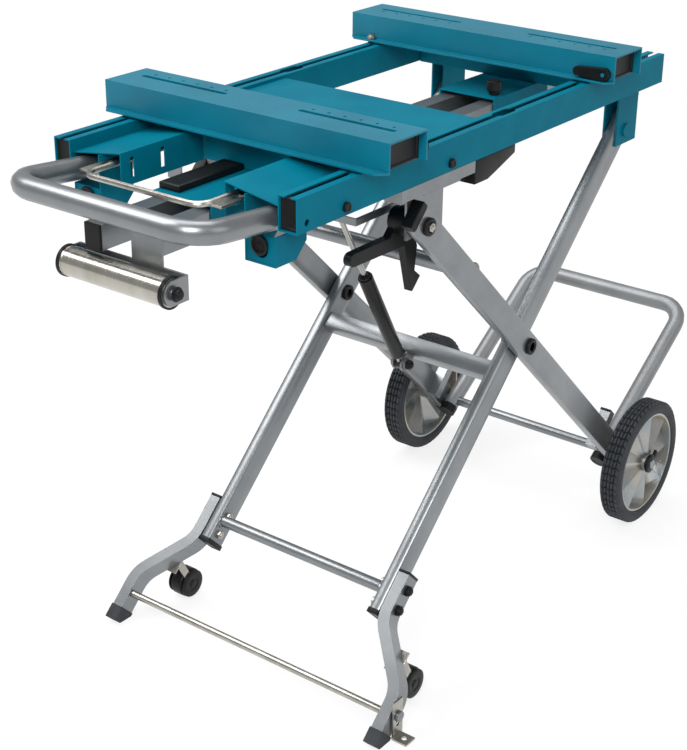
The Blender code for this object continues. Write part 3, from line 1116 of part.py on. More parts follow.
def carriage():
    """The welded carriage: runners, front plate and brace, hangers, tie plate, strut ear and pins."""
    middle = (RUNNER_OUT + RUNNER_IN) / 2
    half = (RUNNER_OUT - RUNNER_IN) / 2
    path = [(half, RUNNER_BOTTOM), (half, RUNNER_TOP), (-half, RUNNER_TOP), (-half, RUNNER_BOTTOM)]
    runner = plate(strip(path, RUNNER_WALL), RUNNER_LENGTH)
    runner_x = RUNNER_LEFT + RUNNER_LENGTH / 2
    body = put("carriage", runner, SILVER, (runner_x, -middle, 0), ALONG_X, CARRIAGE)
    weld(body, runner, (runner_x, middle, 0), ALONG_X)
    plate_out = RUNNER_OUT - GAP
    plate_top = RUNNER_TOP - GAP
    low = RAIL_BOTTOM - FRONT_PLATE_LOW
    high = RAIL_BOTTOM - FRONT_PLATE_HIGH
    leg = RUNNER_IN + GAP
    front = [(plate_out, low), (plate_out, plate_top), (leg, plate_top), (leg, high), (-BRACE_Y, high),
             (-BRACE_Y, low)]
    near_end = rectangle(-plate_out, RUNNER_BOTTOM, -leg, plate_top)
    front_x = RUNNER_LEFT - RUNNER_WALL / 2 + WELD
    for outline in (front, near_end):
        weld(body, plate(outline, RUNNER_WALL), (front_x, 0, 0), ALONG_X)
    flange_top = RUNNER_BOTTOM + WELD
    path = [(plate_out, flange_top), (HANGER_IN, flange_top), (HANGER_IN, PIVOT_Z - HANGER_DROP)]
    tie_z = PIVOT_Z + TIE_RISE + TIE_THICKNESS / 2
    tie_x = SLIDE_X + (TIE_LEFT + TIE_RIGHT) / 2
    weld(body, block(TIE_RIGHT - TIE_LEFT, 2 * (HANGER_IN + WELD), TIE_THICKNESS), (tie_x, 0, tie_z))
    brace_right = SLIDE_X + TIE_RIGHT
    brace_top = PIVOT_Z + TIE_RISE + WELD
    weld(body, block(brace_right - RUNNER_LEFT, TIE_THICKNESS, brace_top - low),
         ((brace_right + RUNNER_LEFT) / 2, TIE_THICKNESS / 2 - BRACE_Y, (brace_top + low) / 2))
    hanger_x = SLIDE_X - HANGER_AHEAD + HANGER_LENGTH / 2
    high = WHEEL_LEG_OUT + RUN
    sleeve = PIN_HEAD_RADIUS - WELD
    latch_pin = bolt(16, LATCH_IN - RUN - PIN_HEAD_HEIGHT, (PIN_HEAD_RADIUS, LATCH_IN - RUN),
                     (PIN_RADIUS, LATCH_OUT + RUN), (sleeve, HANGER_IN + WELD), (PIN_RADIUS, high),
                     (PIN_HEAD_RADIUS, high + PIN_HEAD_HEIGHT))
    plain_pin = bolt(16, HANGER_IN - PIN_HEAD_HEIGHT, (PIN_HEAD_RADIUS, HANGER_IN + WELD),
                     (PIN_RADIUS, high), (PIN_HEAD_RADIUS, high + PIN_HEAD_HEIGHT))
    for _, side in SIDES:
        weld(body, plate(strip(handed(path, side), HANGER_WALL), HANGER_LENGTH), (hanger_x, 0, 0), ALONG_X)
        weld(body, latch_pin if side < 0 else plain_pin, wheel_leg(0), outward(side))
    radius = STRUT_EYE_RADIUS + STRUT_PLATE
    ear_top = PIVOT_Z + TIE_RISE + WELD
    ear = [(STRUT_TOP_X + radius, ear_top), (STRUT_TOP_X - radius, ear_top),
           *arc(STRUT_TOP_X, STRUT_TOP_Z, radius, 180, 360)]
    weld(body, plate(ear, STRUT_PLATE), (0, STRUT_SIDE + STRUT_PLATE / 2, 0), ALONG_Y)


def latch_lever():
    """The moulded latch lever: a grip to the front and a hook below the pivot."""
    frame = empty("latch_frame", wheel_leg(0), CARRIAGE)
    hub = LATCH_HUB_RADIUS
    grip = LATCH_GRIP_RADIUS
    point = LATCH_HOOK_AHEAD
    outline = [*arc(0, 0, hub, 0, 205), (-LATCH_GRIP_ROOT, grip - LATCH_GRIP_SAG),
               *arc(-LATCH_GRIP_REACH, -LATCH_GRIP_SAG, grip, 90, 270),
               (LATCH_BACK_AHEAD, -LATCH_BACK_DROP), (point - LATCH_POINT, -LATCH_HOOK_DROP),
               (point + LATCH_POINT, -LATCH_HOOK_DROP), (LATCH_BARB_AHEAD, -LATCH_BARB_DROP),
               (LATCH_THROAT_AHEAD, -LATCH_THROAT_DROP), (LATCH_ROOT_AHEAD, -LATCH_ROOT_DROP)]
    hole = circle(0, 0, PIN_RADIUS + RUN)
    put("latch_lever", plate(outline, LATCH_THICKNESS, [hole]), BLACK,
        wheel_leg(0, 0, -(LATCH_IN + LATCH_OUT) / 2), ALONG_Y, frame)


def gas_strut():
    """The gas strut: a cylinder on the mid tube's lugs and a rod up to the carriage."""
    low_x, _, low_z = foot_leg(STRUT_LOW_S)
    length = math.hypot(low_x - STRUT_TOP_X, STRUT_TOP_Z - low_z)
    tilt = math.atan2(STRUT_TOP_X - low_x, STRUT_TOP_Z - low_z)
    turn = (0, tilt, 0)
    body_top = STRUT_NECK + STRUT_BODY
    bore = STRUT_ROD_RADIUS + RUN
    neck = STRUT_ROD_RADIUS + WELD
    profile = [(0, STRUT_EYE_RADIUS / 2), (neck, STRUT_EYE_RADIUS / 2), (neck, STRUT_NECK),
               (STRUT_RADIUS, STRUT_NECK), (STRUT_RADIUS, body_top), (bore, body_top),
               (bore, body_top - STRUT_BORE), (0, body_top - STRUT_BORE)]
    eye = rods(STRUT_EYE_RADIUS, STRUT_EYE_WIDTH, sides=20)
    low = foot_leg(STRUT_LOW_S)
    cylinder = put("strut_cylinder", turned(profile, 20), BLACK, low, turn, STRUT)
    weld(cylinder, eye, low, ALONG_Y)
    boolean(cylinder, rods(STRUT_PIN_RADIUS + RUN, 2 * STRUT_EYE_WIDTH), low, ALONG_Y)
    rod_length = length - body_top + STRUT_GRIP
    middle = length - rod_length / 2
    place = (low_x + middle * math.sin(tilt), 0, low_z + middle * math.cos(tilt))
    rod = put("strut_rod", rods(STRUT_ROD_RADIUS, rod_length), ZINC, place, turn, STRUT)
    top = (STRUT_TOP_X, 0, STRUT_TOP_Z)
    weld(rod, eye, top, ALONG_Y)
    boolean(rod, rods(STRUT_PIN_RADIUS + RUN, 2 * STRUT_EYE_WIDTH), top, ALONG_Y)


rails()
mounting_bar("left", LEFT_BAR_X, 1)
mounting_bar("right", RIGHT_BAR_X, -1)
table_sheets()
carry_handle()
release_bail()
end_brackets()
pivot_brackets()
arm_guides()
extension("left", -LEFT_ROLLER_OUT, -1)
extension("right", RAIL_LENGTH + RIGHT_ROLLER_OUT, 1)
foot_legs()
feet()
casters()
wheel_legs()
wheels()
carriage()
latch_lever()
gas_strut()
bpy.context.view_layer.update()
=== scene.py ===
"""Studio scene of the folding miter saw stand.

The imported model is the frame. Each sub-assembly is a class that models the
pieces which the solids leave plain, and dresses its nodes with finishes.
Lengths are in metres, and values whose names end in mm are in millimetres.
"""
from __future__ import annotations

import json
import logging
import math
from dataclasses import dataclass, field
from enum import Enum
from typing import Any, Callable, Iterable, Sequence

import bmesh
import bpy
from mathutils import Euler, Matrix, Vector

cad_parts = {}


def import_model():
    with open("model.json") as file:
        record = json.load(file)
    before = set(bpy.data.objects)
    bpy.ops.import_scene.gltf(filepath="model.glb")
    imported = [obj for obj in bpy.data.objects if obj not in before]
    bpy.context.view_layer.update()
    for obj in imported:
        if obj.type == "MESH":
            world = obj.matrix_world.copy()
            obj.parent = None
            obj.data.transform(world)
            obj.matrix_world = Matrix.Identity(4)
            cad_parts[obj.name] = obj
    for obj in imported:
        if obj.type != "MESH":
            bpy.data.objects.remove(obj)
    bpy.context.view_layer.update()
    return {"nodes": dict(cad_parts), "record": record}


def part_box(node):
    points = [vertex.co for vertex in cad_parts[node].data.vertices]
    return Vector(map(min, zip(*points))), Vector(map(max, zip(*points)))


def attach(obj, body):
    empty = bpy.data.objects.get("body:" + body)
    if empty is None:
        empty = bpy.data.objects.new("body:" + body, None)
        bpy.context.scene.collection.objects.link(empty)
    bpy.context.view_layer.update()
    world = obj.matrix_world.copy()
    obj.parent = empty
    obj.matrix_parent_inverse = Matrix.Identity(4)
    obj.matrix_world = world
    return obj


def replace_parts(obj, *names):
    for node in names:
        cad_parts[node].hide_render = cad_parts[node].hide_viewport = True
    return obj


LOG = logging.getLogger("miter_saw_stand")
MM = 0.001
Point = Sequence[float]
Turn = tuple[float, float, float]
Steps = tuple[tuple[float, float], ...]
FLAT: Turn = (0.0, 0.0, 0.0)
# Points local z to the left, away from the table.
LEFTWARD: Turn = (0.0, -math.pi / 2, 0.0)
# Points nearer than this count as one.
TOUCH = 0.00001
# The gap that keeps a fitted piece's face off the face behind it.
HAIR = 0.0002


def srgb(code: str) -> tuple[float, float, float, float]:
    """Turn an sRGB hex colour into linear RGBA.

    Args:
        code: six hex digits, such as "00748A".

    Returns:
        The linear colour with alpha 1.
    """
    parts = [int(code[i:i + 2], 16) / 255 for i in (0, 2, 4)]
    linear = [c / 12.92 if c <= 0.04045 else ((c + 0.055) / 1.055) ** 2.4 for c in parts]
    return (linear[0], linear[1], linear[2], 1.0)


def add_node(tree: bpy.types.NodeTree, kind: str, links: dict[str, Any] | None = None,
             **settings: Any) -> bpy.types.Node:
    """Add a shader node with its settings and links.

    Args:
        tree: the material's or the world's node tree.
        kind: the node's type name without the ShaderNode prefix.
        links: input name or number to a value, or to a (node, output name) pair.
        settings: attributes of the node.

    Returns:
        The new node.
    """
    node = tree.nodes.new("ShaderNode" + kind)
    for name, value in settings.items():
        setattr(node, name, value)
    for name, value in (links or {}).items():
        socket = node.inputs[int(name)] if name.isdigit() else node.inputs[name]
        if isinstance(value, tuple) and value and isinstance(value[0], bpy.types.Node):
            tree.links.new(value[0].outputs[value[1]], socket)
        else:
            socket.default_value = value
    return node


def only(*objs: bpy.types.Object) -> None:
    """Select these objects alone, with the first one active.

    Args:
        objs: the objects, at least one.
    """
    bpy.ops.object.select_all(action="DESELECT")
    for obj in objs:
        obj.select_set(True)
    bpy.context.view_layer.objects.active = objs[0]


def corners(node: str) -> tuple[Vector, Vector]:
    """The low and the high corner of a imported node's box."""
    low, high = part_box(node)
    return Vector(low), Vector(high)


class Body(Enum):
    """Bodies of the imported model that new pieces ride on."""

    TABLE = "table"
    LEFT_BAR = "left_bar"
    RIGHT_BAR = "right_bar"
    LEFT_EXTENSION = "left_extension"
    RIGHT_EXTENSION = "right_extension"
    LEFT_ROLLER = "left_work_roller"
    RIGHT_ROLLER = "right_work_roller"
    FOOT_LEGS = "foot_legs"
    WHEEL_LEGS = "wheel_legs"
    NEAR_WHEEL = "near_wheel"
    FAR_WHEEL = "far_wheel"
    CARRIAGE = "carriage_slide"
    LATCH = "latch"
    STRUT = "strut_body"


class Slot(Enum):
    """Material slots of the record that the finishes stand for."""

    TEAL = "teal_powder_coat"
    SILVER = "silver_paint"
    ZINC = "zinc_plate"
    PLASTIC = "black_plastic"
    TYRE = "tyre_rubber"
    RIM = "grey_rim"


class Side(Enum):
    """The near and the far side of the stand."""

    NEAR = -1
    FAR = 1

    @property
    def label(self) -> str:
        """The side's name in node names."""
        return self.name.lower()

    @property
    def outward(self) -> Turn:
        """The turn that points local z away from the stand's middle."""
        return (-self.value * math.pi / 2, 0.0, 0.0)

    @property
    def inward(self) -> Turn:
        """The turn that points local z towards the stand's middle."""
        return (self.value * math.pi / 2, 0.0, 0.0)

    def face(self, low: Vector, high: Vector) -> float:
        """The y of the face that a box turns to this side."""
        return high.y if self is Side.FAR else low.y


@dataclass(frozen=True)
class Finish:
    """A surface finish with soft mottling and a fine relief.

    The mottling is a slow change of shade over centimetres, and the relief
    is the grain of the coat or the mould, as bump.
    """

    name: str
    slot: Slot
    colour: str
    shade: str
    roughness: float
    metallic: float = 0.0
    specular: float = 0.5
    mottle_mm: float = 60.0
    grain_mm: float = 1.2
    grain_depth_mm: float = 0.02
    roughness_spread: float = 0.06
    stretch: tuple[float, float, float] = (1.0, 1.0, 1.0)
    tone_band: tuple[float, float] = (0.32, 0.68)
    grain_band: tuple[float, float] = (0.3, 0.7)
    relief: float = 0.35

    def material(self) -> bpy.types.Material:
        """Build the finish's material.

        Returns:
            The node material, made once for each name.
        """
        known = bpy.data.materials.get(self.name)
        if known:
            return known
        mat = bpy.data.materials.new(self.name)
        mat.use_nodes = True
        tree = mat.node_tree
        tree.nodes.clear()
        place = add_node(tree, "TexCoord")
        laid = add_node(tree, "Mapping", {"Vector": (place, "Object"), "Scale": self.stretch})
        mottle = add_node(tree, "TexNoise", {"Vector": (laid, "Vector"), "Scale": 1 / (self.mottle_mm * MM),
                                             "Detail": 4.0, "Roughness": 0.55})
        grain = add_node(tree, "TexNoise", {"Vector": (laid, "Vector"), "Scale": 1 / (self.grain_mm * MM),
                                            "Detail": 2.0})
        tone = add_node(tree, "MapRange", {"Value": (mottle, "Fac"), "From Min": self.tone_band[0],
                                           "From Max": self.tone_band[1]})
        blend = add_node(tree, "Mix", {"Factor": (tone, "Result"), "6": srgb(self.shade),
                                       "7": srgb(self.colour)}, data_type="RGBA")
        rough = add_node(tree, "MapRange", {"Value": (grain, "Fac"), "From Min": self.grain_band[0],
                                            "From Max": self.grain_band[1],
                                            "To Min": self.roughness - self.roughness_spread,
                                            "To Max": self.roughness + self.roughness_spread})
        bump = add_node(tree, "Bump", {"Height": (grain, "Fac"), "Strength": self.relief,
                                       "Distance": self.grain_depth_mm * MM})
        shader = add_node(tree, "BsdfPrincipled", {"Base Color": (blend, "Result"),
                                                   "Roughness": (rough, "Result"),
                                                   "Normal": (bump, "Normal"), "Metallic": self.metallic,
                                                   "Specular IOR Level": self.specular})
        add_node(tree, "OutputMaterial", {"Surface": (shader, "BSDF")})
        return mat


# Powder coat over steel sheet: an even satin colour with a faint orange peel.
TEAL = Finish("teal_powder_coated_sheet", Slot.TEAL, "01677B", "015D72", 0.42, specular=0.04, mottle_mm=90,
              grain_mm=1.6, grain_depth_mm=0.03)
# The same coat on the bars, smoother, so that their tops take a pale sheen.
BAR_TEAL = Finish("teal_powder_coated_bar", Slot.TEAL, "016A80", "016176", 0.36, specular=0.28, mottle_mm=90,
                  grain_mm=1.6, grain_depth_mm=0.02)
# Aluminium-flake paint: a cool grey that brightens where it turns to the light.
SILVER = Finish("silver_flake_paint", Slot.SILVER, "8C8F91", "7E8184", 0.33, metallic=0.82, mottle_mm=70,
                grain_mm=1.8, grain_depth_mm=0.006, roughness_spread=0.04)
# The same paint on the rest bar's drawn tube, thinner and duller.
TUBE_SILVER = Finish("silver_flake_paint_thin", Slot.SILVER, "8F9193", "828486", 0.44, metallic=0.6,
                     mottle_mm=70, grain_mm=1.8, grain_depth_mm=0.006, roughness_spread=0.04)
# Electroplated zinc: a warm bright metal, drawn a little coarse so that it shows.
ZINC = Finish("zinc_plated_steel", Slot.ZINC, "B9B7B0", "9F9C93", 0.3, metallic=1.0, mottle_mm=25,
              grain_mm=0.9)
# Turned zinc on the work rollers: fine rings round the axis.
SPUN_ZINC = Finish("turned_zinc_roller", Slot.ZINC, "BFBDB4", "ADAAA1", 0.22, metallic=1.0, mottle_mm=30,
                   grain_mm=1.0, stretch=(0.08, 1.0, 0.08))
# Glass-filled nylon: deep black with a soft sheen.
NYLON = Finish("black_moulded_nylon", Slot.PLASTIC, "121314", "0D0E0F", 0.42, specular=0.22, mottle_mm=40,
               grain_mm=0.8)
# Vulcanised rubber: dull and slightly blue-grey where it is scuffed.
RUBBER = Finish("vulcanised_rubber", Slot.TYRE, "34373B", "25282C", 0.66, specular=0.35, mottle_mm=30,
                grain_mm=1.0, grain_depth_mm=0.05)
# Die-cast rim under clear lacquer, grey with a soft metal gloss.
RIM = Finish("cast_rim_lacquered", Slot.RIM, "B7AEA2", "8E9AA2", 0.3, metallic=0.85, mottle_mm=60,
             grain_mm=0.9)
# Hard chrome on the strut rod: an even grey mirror.
CHROME = Finish("hard_chrome", Slot.ZINC, "B4B3AE", "A6A5A0", 0.2, metallic=1.0, mottle_mm=50, grain_mm=0.8,
                grain_depth_mm=0.004, roughness_spread=0.03)
# Black paint on the strut's cylinder, a little glossier than the plastic.
PAINT = Finish("black_cylinder_paint", Slot.PLASTIC, "151615", "101110", 0.3, specular=0.3, mottle_mm=50,
               grain_mm=1.0, grain_depth_mm=0.01)


@dataclass(frozen=True)
class SoftBox:
    """A square soft light that points at the stand."""

    name: str
    place: Point
    size: float
    watts: float


@dataclass
class Studio:
    """The plain pale floor, the soft lights and the camera."""

    eye: Point = (-1.85315, -1.27255, 1.3862)
    yaw_deg: float = -52.66
    pitch_deg: float = 24.945
    roll_deg: float = 0.529
    lens_mm: float = 76.45
    sensor_mm: float = 36.0
    far_clip: float = 100.0
    floor_size: float = 40.0
    floor_drop: float = 0.0005
    fade_start: float = 1.0
    fade_end: float = 3.2
    white_share: float = 0.8
    surround: float = 0.42
    aim: Point = (0.0, 0.0, 0.5)
    boxes: tuple[SoftBox, ...] = (SoftBox("key_softbox", (-3.0, -1.5, 3.2), 1.8, 125.0),
                                  SoftBox("near_softbox", (0.4, -3.6, 2.6), 2.4, 24.0),
                                  SoftBox("top_softbox", (0.6, 0.8, 4.2), 2.6, 72.0),
                                  SoftBox("edge_softbox", (-1.3, 2.1, 3.5), 2.0, 84.0))

    def camera(self) -> bpy.types.Object:
        """Stand the camera where the photograph was taken.

        Returns:
            The camera object.
        """
        yaw, pitch, roll = (math.radians(a) for a in (self.yaw_deg, self.pitch_deg, self.roll_deg))
        right = Vector((math.cos(yaw), math.sin(yaw), 0))
        ahead = Vector((-math.sin(yaw) * math.cos(pitch), math.cos(yaw) * math.cos(pitch), -math.sin(pitch)))
        up = right.cross(ahead)
        right_rolled = right * math.cos(roll) + up * math.sin(roll)
        up_rolled = up * math.cos(roll) - right * math.sin(roll)
        turn = Matrix((right_rolled, up_rolled, -ahead)).transposed()
        data = bpy.data.cameras.new("photograph_view")
        data.sensor_fit = "VERTICAL"
        data.sensor_height = self.sensor_mm
        data.sensor_width = self.sensor_mm
        data.lens = self.lens_mm
        data.clip_end = self.far_clip
        cam = bpy.data.objects.new("photograph_view", data)
        bpy.context.scene.collection.objects.link(cam)
        cam.matrix_world = Matrix.Translation(self.eye) @ turn.to_4x4()
        bpy.context.scene.camera = cam
        return cam

    def floor(self) -> bpy.types.Object:
        """Lay the pale floor, which keeps the stand's shadow and fades to white further off.

        Returns:
            The floor object.
        """
        bpy.ops.object.select_all(action="DESELECT")
        bpy.ops.mesh.primitive_plane_add(size=self.floor_size, location=(0, 0, -self.floor_drop))
        floor = bpy.context.object
        floor.name = "studio_floor"
        mat = bpy.data.materials.new("white_paper_floor")
        mat.use_nodes = True
        tree = mat.node_tree
        tree.nodes.clear()
        paper = add_node(tree, "BsdfDiffuse", {"Color": srgb("FAFAFA")})
        white = add_node(tree, "Emission", {"Color": srgb("FFFFFF"), "Strength": 1.0})
        rays = add_node(tree, "LightPath")
        seen = add_node(tree, "Math", {"0": (rays, "Is Camera Ray"), "1": (rays, "Is Glossy Ray")},
                        operation="MAXIMUM")
        place = add_node(tree, "TexCoord")
        away = add_node(tree, "VectorMath", {"0": (place, "Object")}, operation="LENGTH")
        fade = add_node(tree, "MapRange", {"Value": (away, "Value"), "From Min": self.fade_start,
                                           "From Max": self.fade_end, "To Min": self.white_share,
                                           "To Max": 1.0})
        share = add_node(tree, "Math", {"0": (seen, "Value"), "1": (fade, "Result")}, operation="MULTIPLY")
        both = add_node(tree, "MixShader", {"Fac": (share, "Value"), "1": (paper, "BSDF"),
                                            "2": (white, "Emission")})
        add_node(tree, "OutputMaterial", {"Surface": (both, "Shader")})
        floor.data.materials.append(mat)
        return floor

    def lights(self) -> None:
        """Hang the soft boxes and set the pale surround."""
        for box in self.boxes:
            data = bpy.data.lights.new(box.name, "AREA")
            data.shape = "SQUARE"
            data.size = box.size
            data.energy = box.watts
            lamp = bpy.data.objects.new(box.name, data)
            bpy.context.scene.collection.objects.link(lamp)
            lamp.location = box.place
            aim = Vector(self.aim) - Vector(box.place)
            lamp.rotation_euler = aim.to_track_quat("-Z", "Y").to_euler()
        world = bpy.data.worlds.new("pale_surround")
        bpy.context.scene.world = world
        world.use_nodes = True
        tree = world.node_tree
        tree.nodes.clear()
        rays = add_node(tree, "LightPath")
        dim = add_node(tree, "Background", {"Color": srgb("FFFFFF"), "Strength": self.surround})
        white = add_node(tree, "Background", {"Color": srgb("FFFFFF"), "Strength": 1.0})
        both = add_node(tree, "MixShader", {"Fac": (rays, "Is Camera Ray"), "1": (dim, "Background"),
                                            "2": (white, "Background")})
        add_node(tree, "OutputWorld", {"Surface": (both, "Shader")})

    def build(self) -> None:
        """Set up the whole studio."""
        self.camera()
        self.floor()
        self.lights()
        bpy.context.scene.view_settings.view_transform = "Standard"


@dataclass
class Piece:
    """A new piece on the modelling bench, from its primitive to its finish."""

    name: str
    obj: bpy.types.Object

    @classmethod
    def taken(cls, name: str) -> Piece:
        """Take the primitive that was just added as a named piece.

        Args:
            name: the piece's name.

        Returns:
            The piece, not yet shaped.
        """
        obj = bpy.context.object
        obj.name = name
        return cls(name, obj)

    @classmethod
    def rod(cls, name: str, radius: float, height: float, sides: int = 32, place: Point = (0, 0, 0),
            turn: Turn = FLAT) -> Piece:
        """Start from a cylinder that stands on a place.

        Args:
            name: the piece's name.
            radius: outer radius.
            height: height along local z.
            sides: number of sides, 6 for a nut.
            place: middle of the lower face.
            turn: turn of local z.

        Returns:
            The piece, not yet shaped.
        """
        bpy.ops.object.select_all(action="DESELECT")
        lift = Euler(turn).to_matrix() @ Vector((0, 0, height / 2))
        bpy.ops.mesh.primitive_cylinder_add(vertices=sides, radius=radius, depth=height,
                                            location=Vector(place) + lift, rotation=turn)
        return cls.taken(name)

    @classmethod
    def slab(cls, name: str, size: Point, place: Point = (0, 0, 0), turn: Turn = FLAT) -> Piece:
        """Start from a block that stands on a place.

        Args:
            name: the piece's name.
            size: length, width and height along the local axes.
            place: middle of the lower face.
            turn: turn of local z.

        Returns:
            The piece, not yet shaped.
        """
        bpy.ops.object.select_all(action="DESELECT")
        lift = Euler(turn).to_matrix() @ Vector((0, 0, size[2] / 2))
        bpy.ops.mesh.primitive_cube_add(size=1, location=Vector(place) + lift, rotation=turn)
        piece = cls.taken(name)
        piece.obj.scale = size
        bpy.ops.object.transform_apply(location=False, rotation=False, scale=True)
        return piece

    @classmethod
    def bead(cls, name: str, ring: float, width: float, place: Point, ripples: int = 60,
             swell: float = 0.14) -> Piece:
        """Lay a weld bead round a tube that runs across the stand.

        Args:
            name: the piece's name.
            ring: the bead's middle radius.
            width: the bead's width.
            place: the ring's middle.
            ripples: steps round the ring, every other one raised.
            swell: rise of a ripple, as a share of the width.

        Returns:
            The bead, with the ripples of the weld.
        """
        bpy.ops.object.select_all(action="DESELECT")
        bpy.ops.mesh.primitive_torus_add(major_radius=ring, minor_radius=width / 2, major_segments=ripples,
                                         minor_segments=8, location=place, rotation=(math.pi / 2, 0, 0))
        piece = cls.taken(name)
        piece.edit()
        piece.pick(lambda at, normal: math.floor(math.atan2(at.y, at.x) * (ripples / 2) / math.pi) % 2 == 0)
        bpy.ops.transform.shrink_fatten(value=width * swell)
        piece.leave()
        return piece

    @classmethod
    def spun(cls, name: str, centre: Vector, inner: float, outer: float, half: float, corner: float,
             steps: int, columns: int = 1, zigzag: float = 0.0) -> Piece:
        """Spin a rounded section about an axis across the stand.

        Args:
            name: the piece's name.
            centre: middle of the ring.
            inner: inner radius.
            outer: outer radius.
            half: half width along the axis.
            corner: rounding of the section's corners.
            steps: steps round the axis.
            columns: faces across the outer surface.
            zigzag: sideways step of every other column's edge.

        Returns:
            The closed ring.
        """
        bpy.ops.object.select_all(action="DESELECT")
        middle = centre + Vector((0, 0, (inner + outer) / 2))
        bpy.ops.mesh.primitive_plane_add(size=1, location=middle, rotation=(0, math.pi / 2, 0))
        piece = cls.taken(name)
        piece.obj.scale = (outer - inner, 2 * half, 1)
        bpy.ops.object.transform_apply(location=True, rotation=True, scale=True)
        piece.edit()
        bpy.ops.mesh.select_all(action="SELECT")
        bpy.ops.mesh.bevel(offset=corner, segments=3, affect="VERTICES")
        bpy.ops.mesh.select_all(action="SELECT")
        bpy.ops.mesh.delete(type="ONLY_FACE")
        top = centre.z + outer - TOUCH
        if columns > 1:
            piece.pick_edges(lambda a, b: min(a.z, b.z) > top)
            bpy.ops.mesh.subdivide(number_cuts=columns - 1)
            width = 2 * (half - corner) / columns
            piece.pick_points(lambda at: at.z > top
                              and round((at.y - centre.y + half - corner) / width) % 2 == 1)
            bpy.ops.transform.translate(value=(zigzag, 0, 0))
        bpy.ops.mesh.select_all(action="SELECT")
        bpy.ops.mesh.spin(steps=steps, angle=2 * math.pi, center=centre, axis=(0, 1, 0))
        bpy.ops.mesh.select_all(action="SELECT")
        bpy.ops.mesh.remove_doubles(threshold=TOUCH)
        bpy.ops.mesh.normals_make_consistent(inside=False)
        piece.leave()
        return piece

    def edit(self) -> None:
        """Open the piece in edit mode with nothing picked."""
        only(self.obj)
        bpy.ops.object.mode_set(mode="EDIT")
        bpy.ops.mesh.select_mode(type="FACE")
        bpy.ops.mesh.select_all(action="DESELECT")

    def leave(self) -> None:
        """Go back to object mode."""
        bpy.ops.object.mode_set(mode="OBJECT")

    def pick(self, wanted: Callable[[Vector, Vector], bool]) -> None:
        """Select faces by their middle and normal.

        Args:
            wanted: the test on middle and normal.
        """
        bpy.ops.mesh.select_mode(type="FACE")
        bpy.ops.mesh.select_all(action="DESELECT")
        mesh = bmesh.from_edit_mesh(self.obj.data)
        for face in mesh.faces:
            face.select_set(bool(wanted(face.calc_center_median(), face.normal)))
        bmesh.update_edit_mesh(self.obj.data)

    def pick_edges(self, wanted: Callable[[Vector, Vector], bool]) -> None:
        """Select edges by their two ends.

        Args:
            wanted: the test on the ends.
        """
        bpy.ops.mesh.select_mode(type="EDGE")
        bpy.ops.mesh.select_all(action="DESELECT")
        mesh = bmesh.from_edit_mesh(self.obj.data)
        for edge in mesh.edges:
            edge.select_set(bool(wanted(edge.verts[0].co, edge.verts[1].co)))
        bmesh.update_edit_mesh(self.obj.data)

    def pick_points(self, wanted: Callable[[Vector], bool]) -> None:
        """Select points by their place.

        Args:
            wanted: the test on the place.
        """
        bpy.ops.mesh.select_mode(type="VERT")
        bpy.ops.mesh.select_all(action="DESELECT")
        mesh = bmesh.from_edit_mesh(self.obj.data)
        for point in mesh.verts:
            point.select_set(bool(wanted(point.co)))
        mesh.select_flush(True)
        bmesh.update_edit_mesh(self.obj.data)

    def crown(self, *steps: tuple[float, float]) -> Piece:
        """Step the upper face in and up, several times.

        Args:
            steps: (inward, upward) in millimetres.

        Returns:
            The same piece.
        """
        self.edit()
        self.pick(lambda at, normal: normal.z > 0.9)
        for inward, upward in steps:
            bpy.ops.mesh.inset(thickness=inward * MM, depth=upward * MM)
        self.leave()
        return self

    def rounded(self, width_mm: float, segments: int = 2, angle_deg: float = 35.0) -> Piece:
        """Round the sharp edges for good.

        Args:
            width_mm: the rounding's width.
            segments: faces across the rounding.
            angle_deg: edges sharper than this are rounded.

        Returns:
            The same piece.
        """
        only(self.obj)
        edge = self.obj.modifiers.new("rounded_edges", "BEVEL")
        edge.width = width_mm * MM
        edge.segments = segments
        edge.limit_method = "ANGLE"
        edge.angle_limit = math.radians(angle_deg)
        bpy.ops.object.modifier_apply(modifier=edge.name)
        return self

    def copy(self, name: str, place: Point, turn: Turn) -> Piece:
        """Copy the modelled piece to a place, with its own mesh.

        Args:
            name: the copy's name.
            place: where its local origin goes.
            turn: the turn of its local z.

        Returns:
            The copy.
        """
        twin = self.obj.copy()
        twin.data = self.obj.data.copy()
        bpy.context.scene.collection.objects.link(twin)
        twin.name = name
        twin.matrix_world = Matrix.LocRotScale(Vector(place), Euler(turn), None) @ self.obj.matrix_world
        return Piece(name, twin)

    def scrap(self) -> None:
        """Remove the pattern after its copies are made."""
        bpy.data.objects.remove(self.obj, do_unlink=True)

    def joined(self, *others: Piece) -> Piece:
        """Join other pieces to this one.

        Args:
            others: the pieces that become part of this one.

        Returns:
            The same piece, now with the others in its mesh.
        """
        only(self.obj, *(piece.obj for piece in others))
        bpy.ops.object.transform_apply(location=True, rotation=True, scale=True)
        bpy.ops.object.join()
        return self

    def settle(self, finish: Finish, body: Body, smooth_deg: float = 38.0) -> bpy.types.Object:
        """Finish the piece: place in the mesh, shading, material and body.

        Args:
            finish: the surface finish, whose material the piece takes.
            body: the body that it rides on.
            smooth_deg: edges flatter than this are shaded smooth.

        Returns:
            The finished object.
        """
        only(self.obj)
        bpy.ops.object.transform_apply(location=True, rotation=True, scale=True)
        bpy.ops.object.shade_smooth_by_angle(angle=math.radians(smooth_deg))
        self.obj.data.materials.clear()
        self.obj.data.materials.append(finish.material())
        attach(self.obj, body.value)
        LOG.info("built %s in %s", self.name, finish.name)
        return self.obj


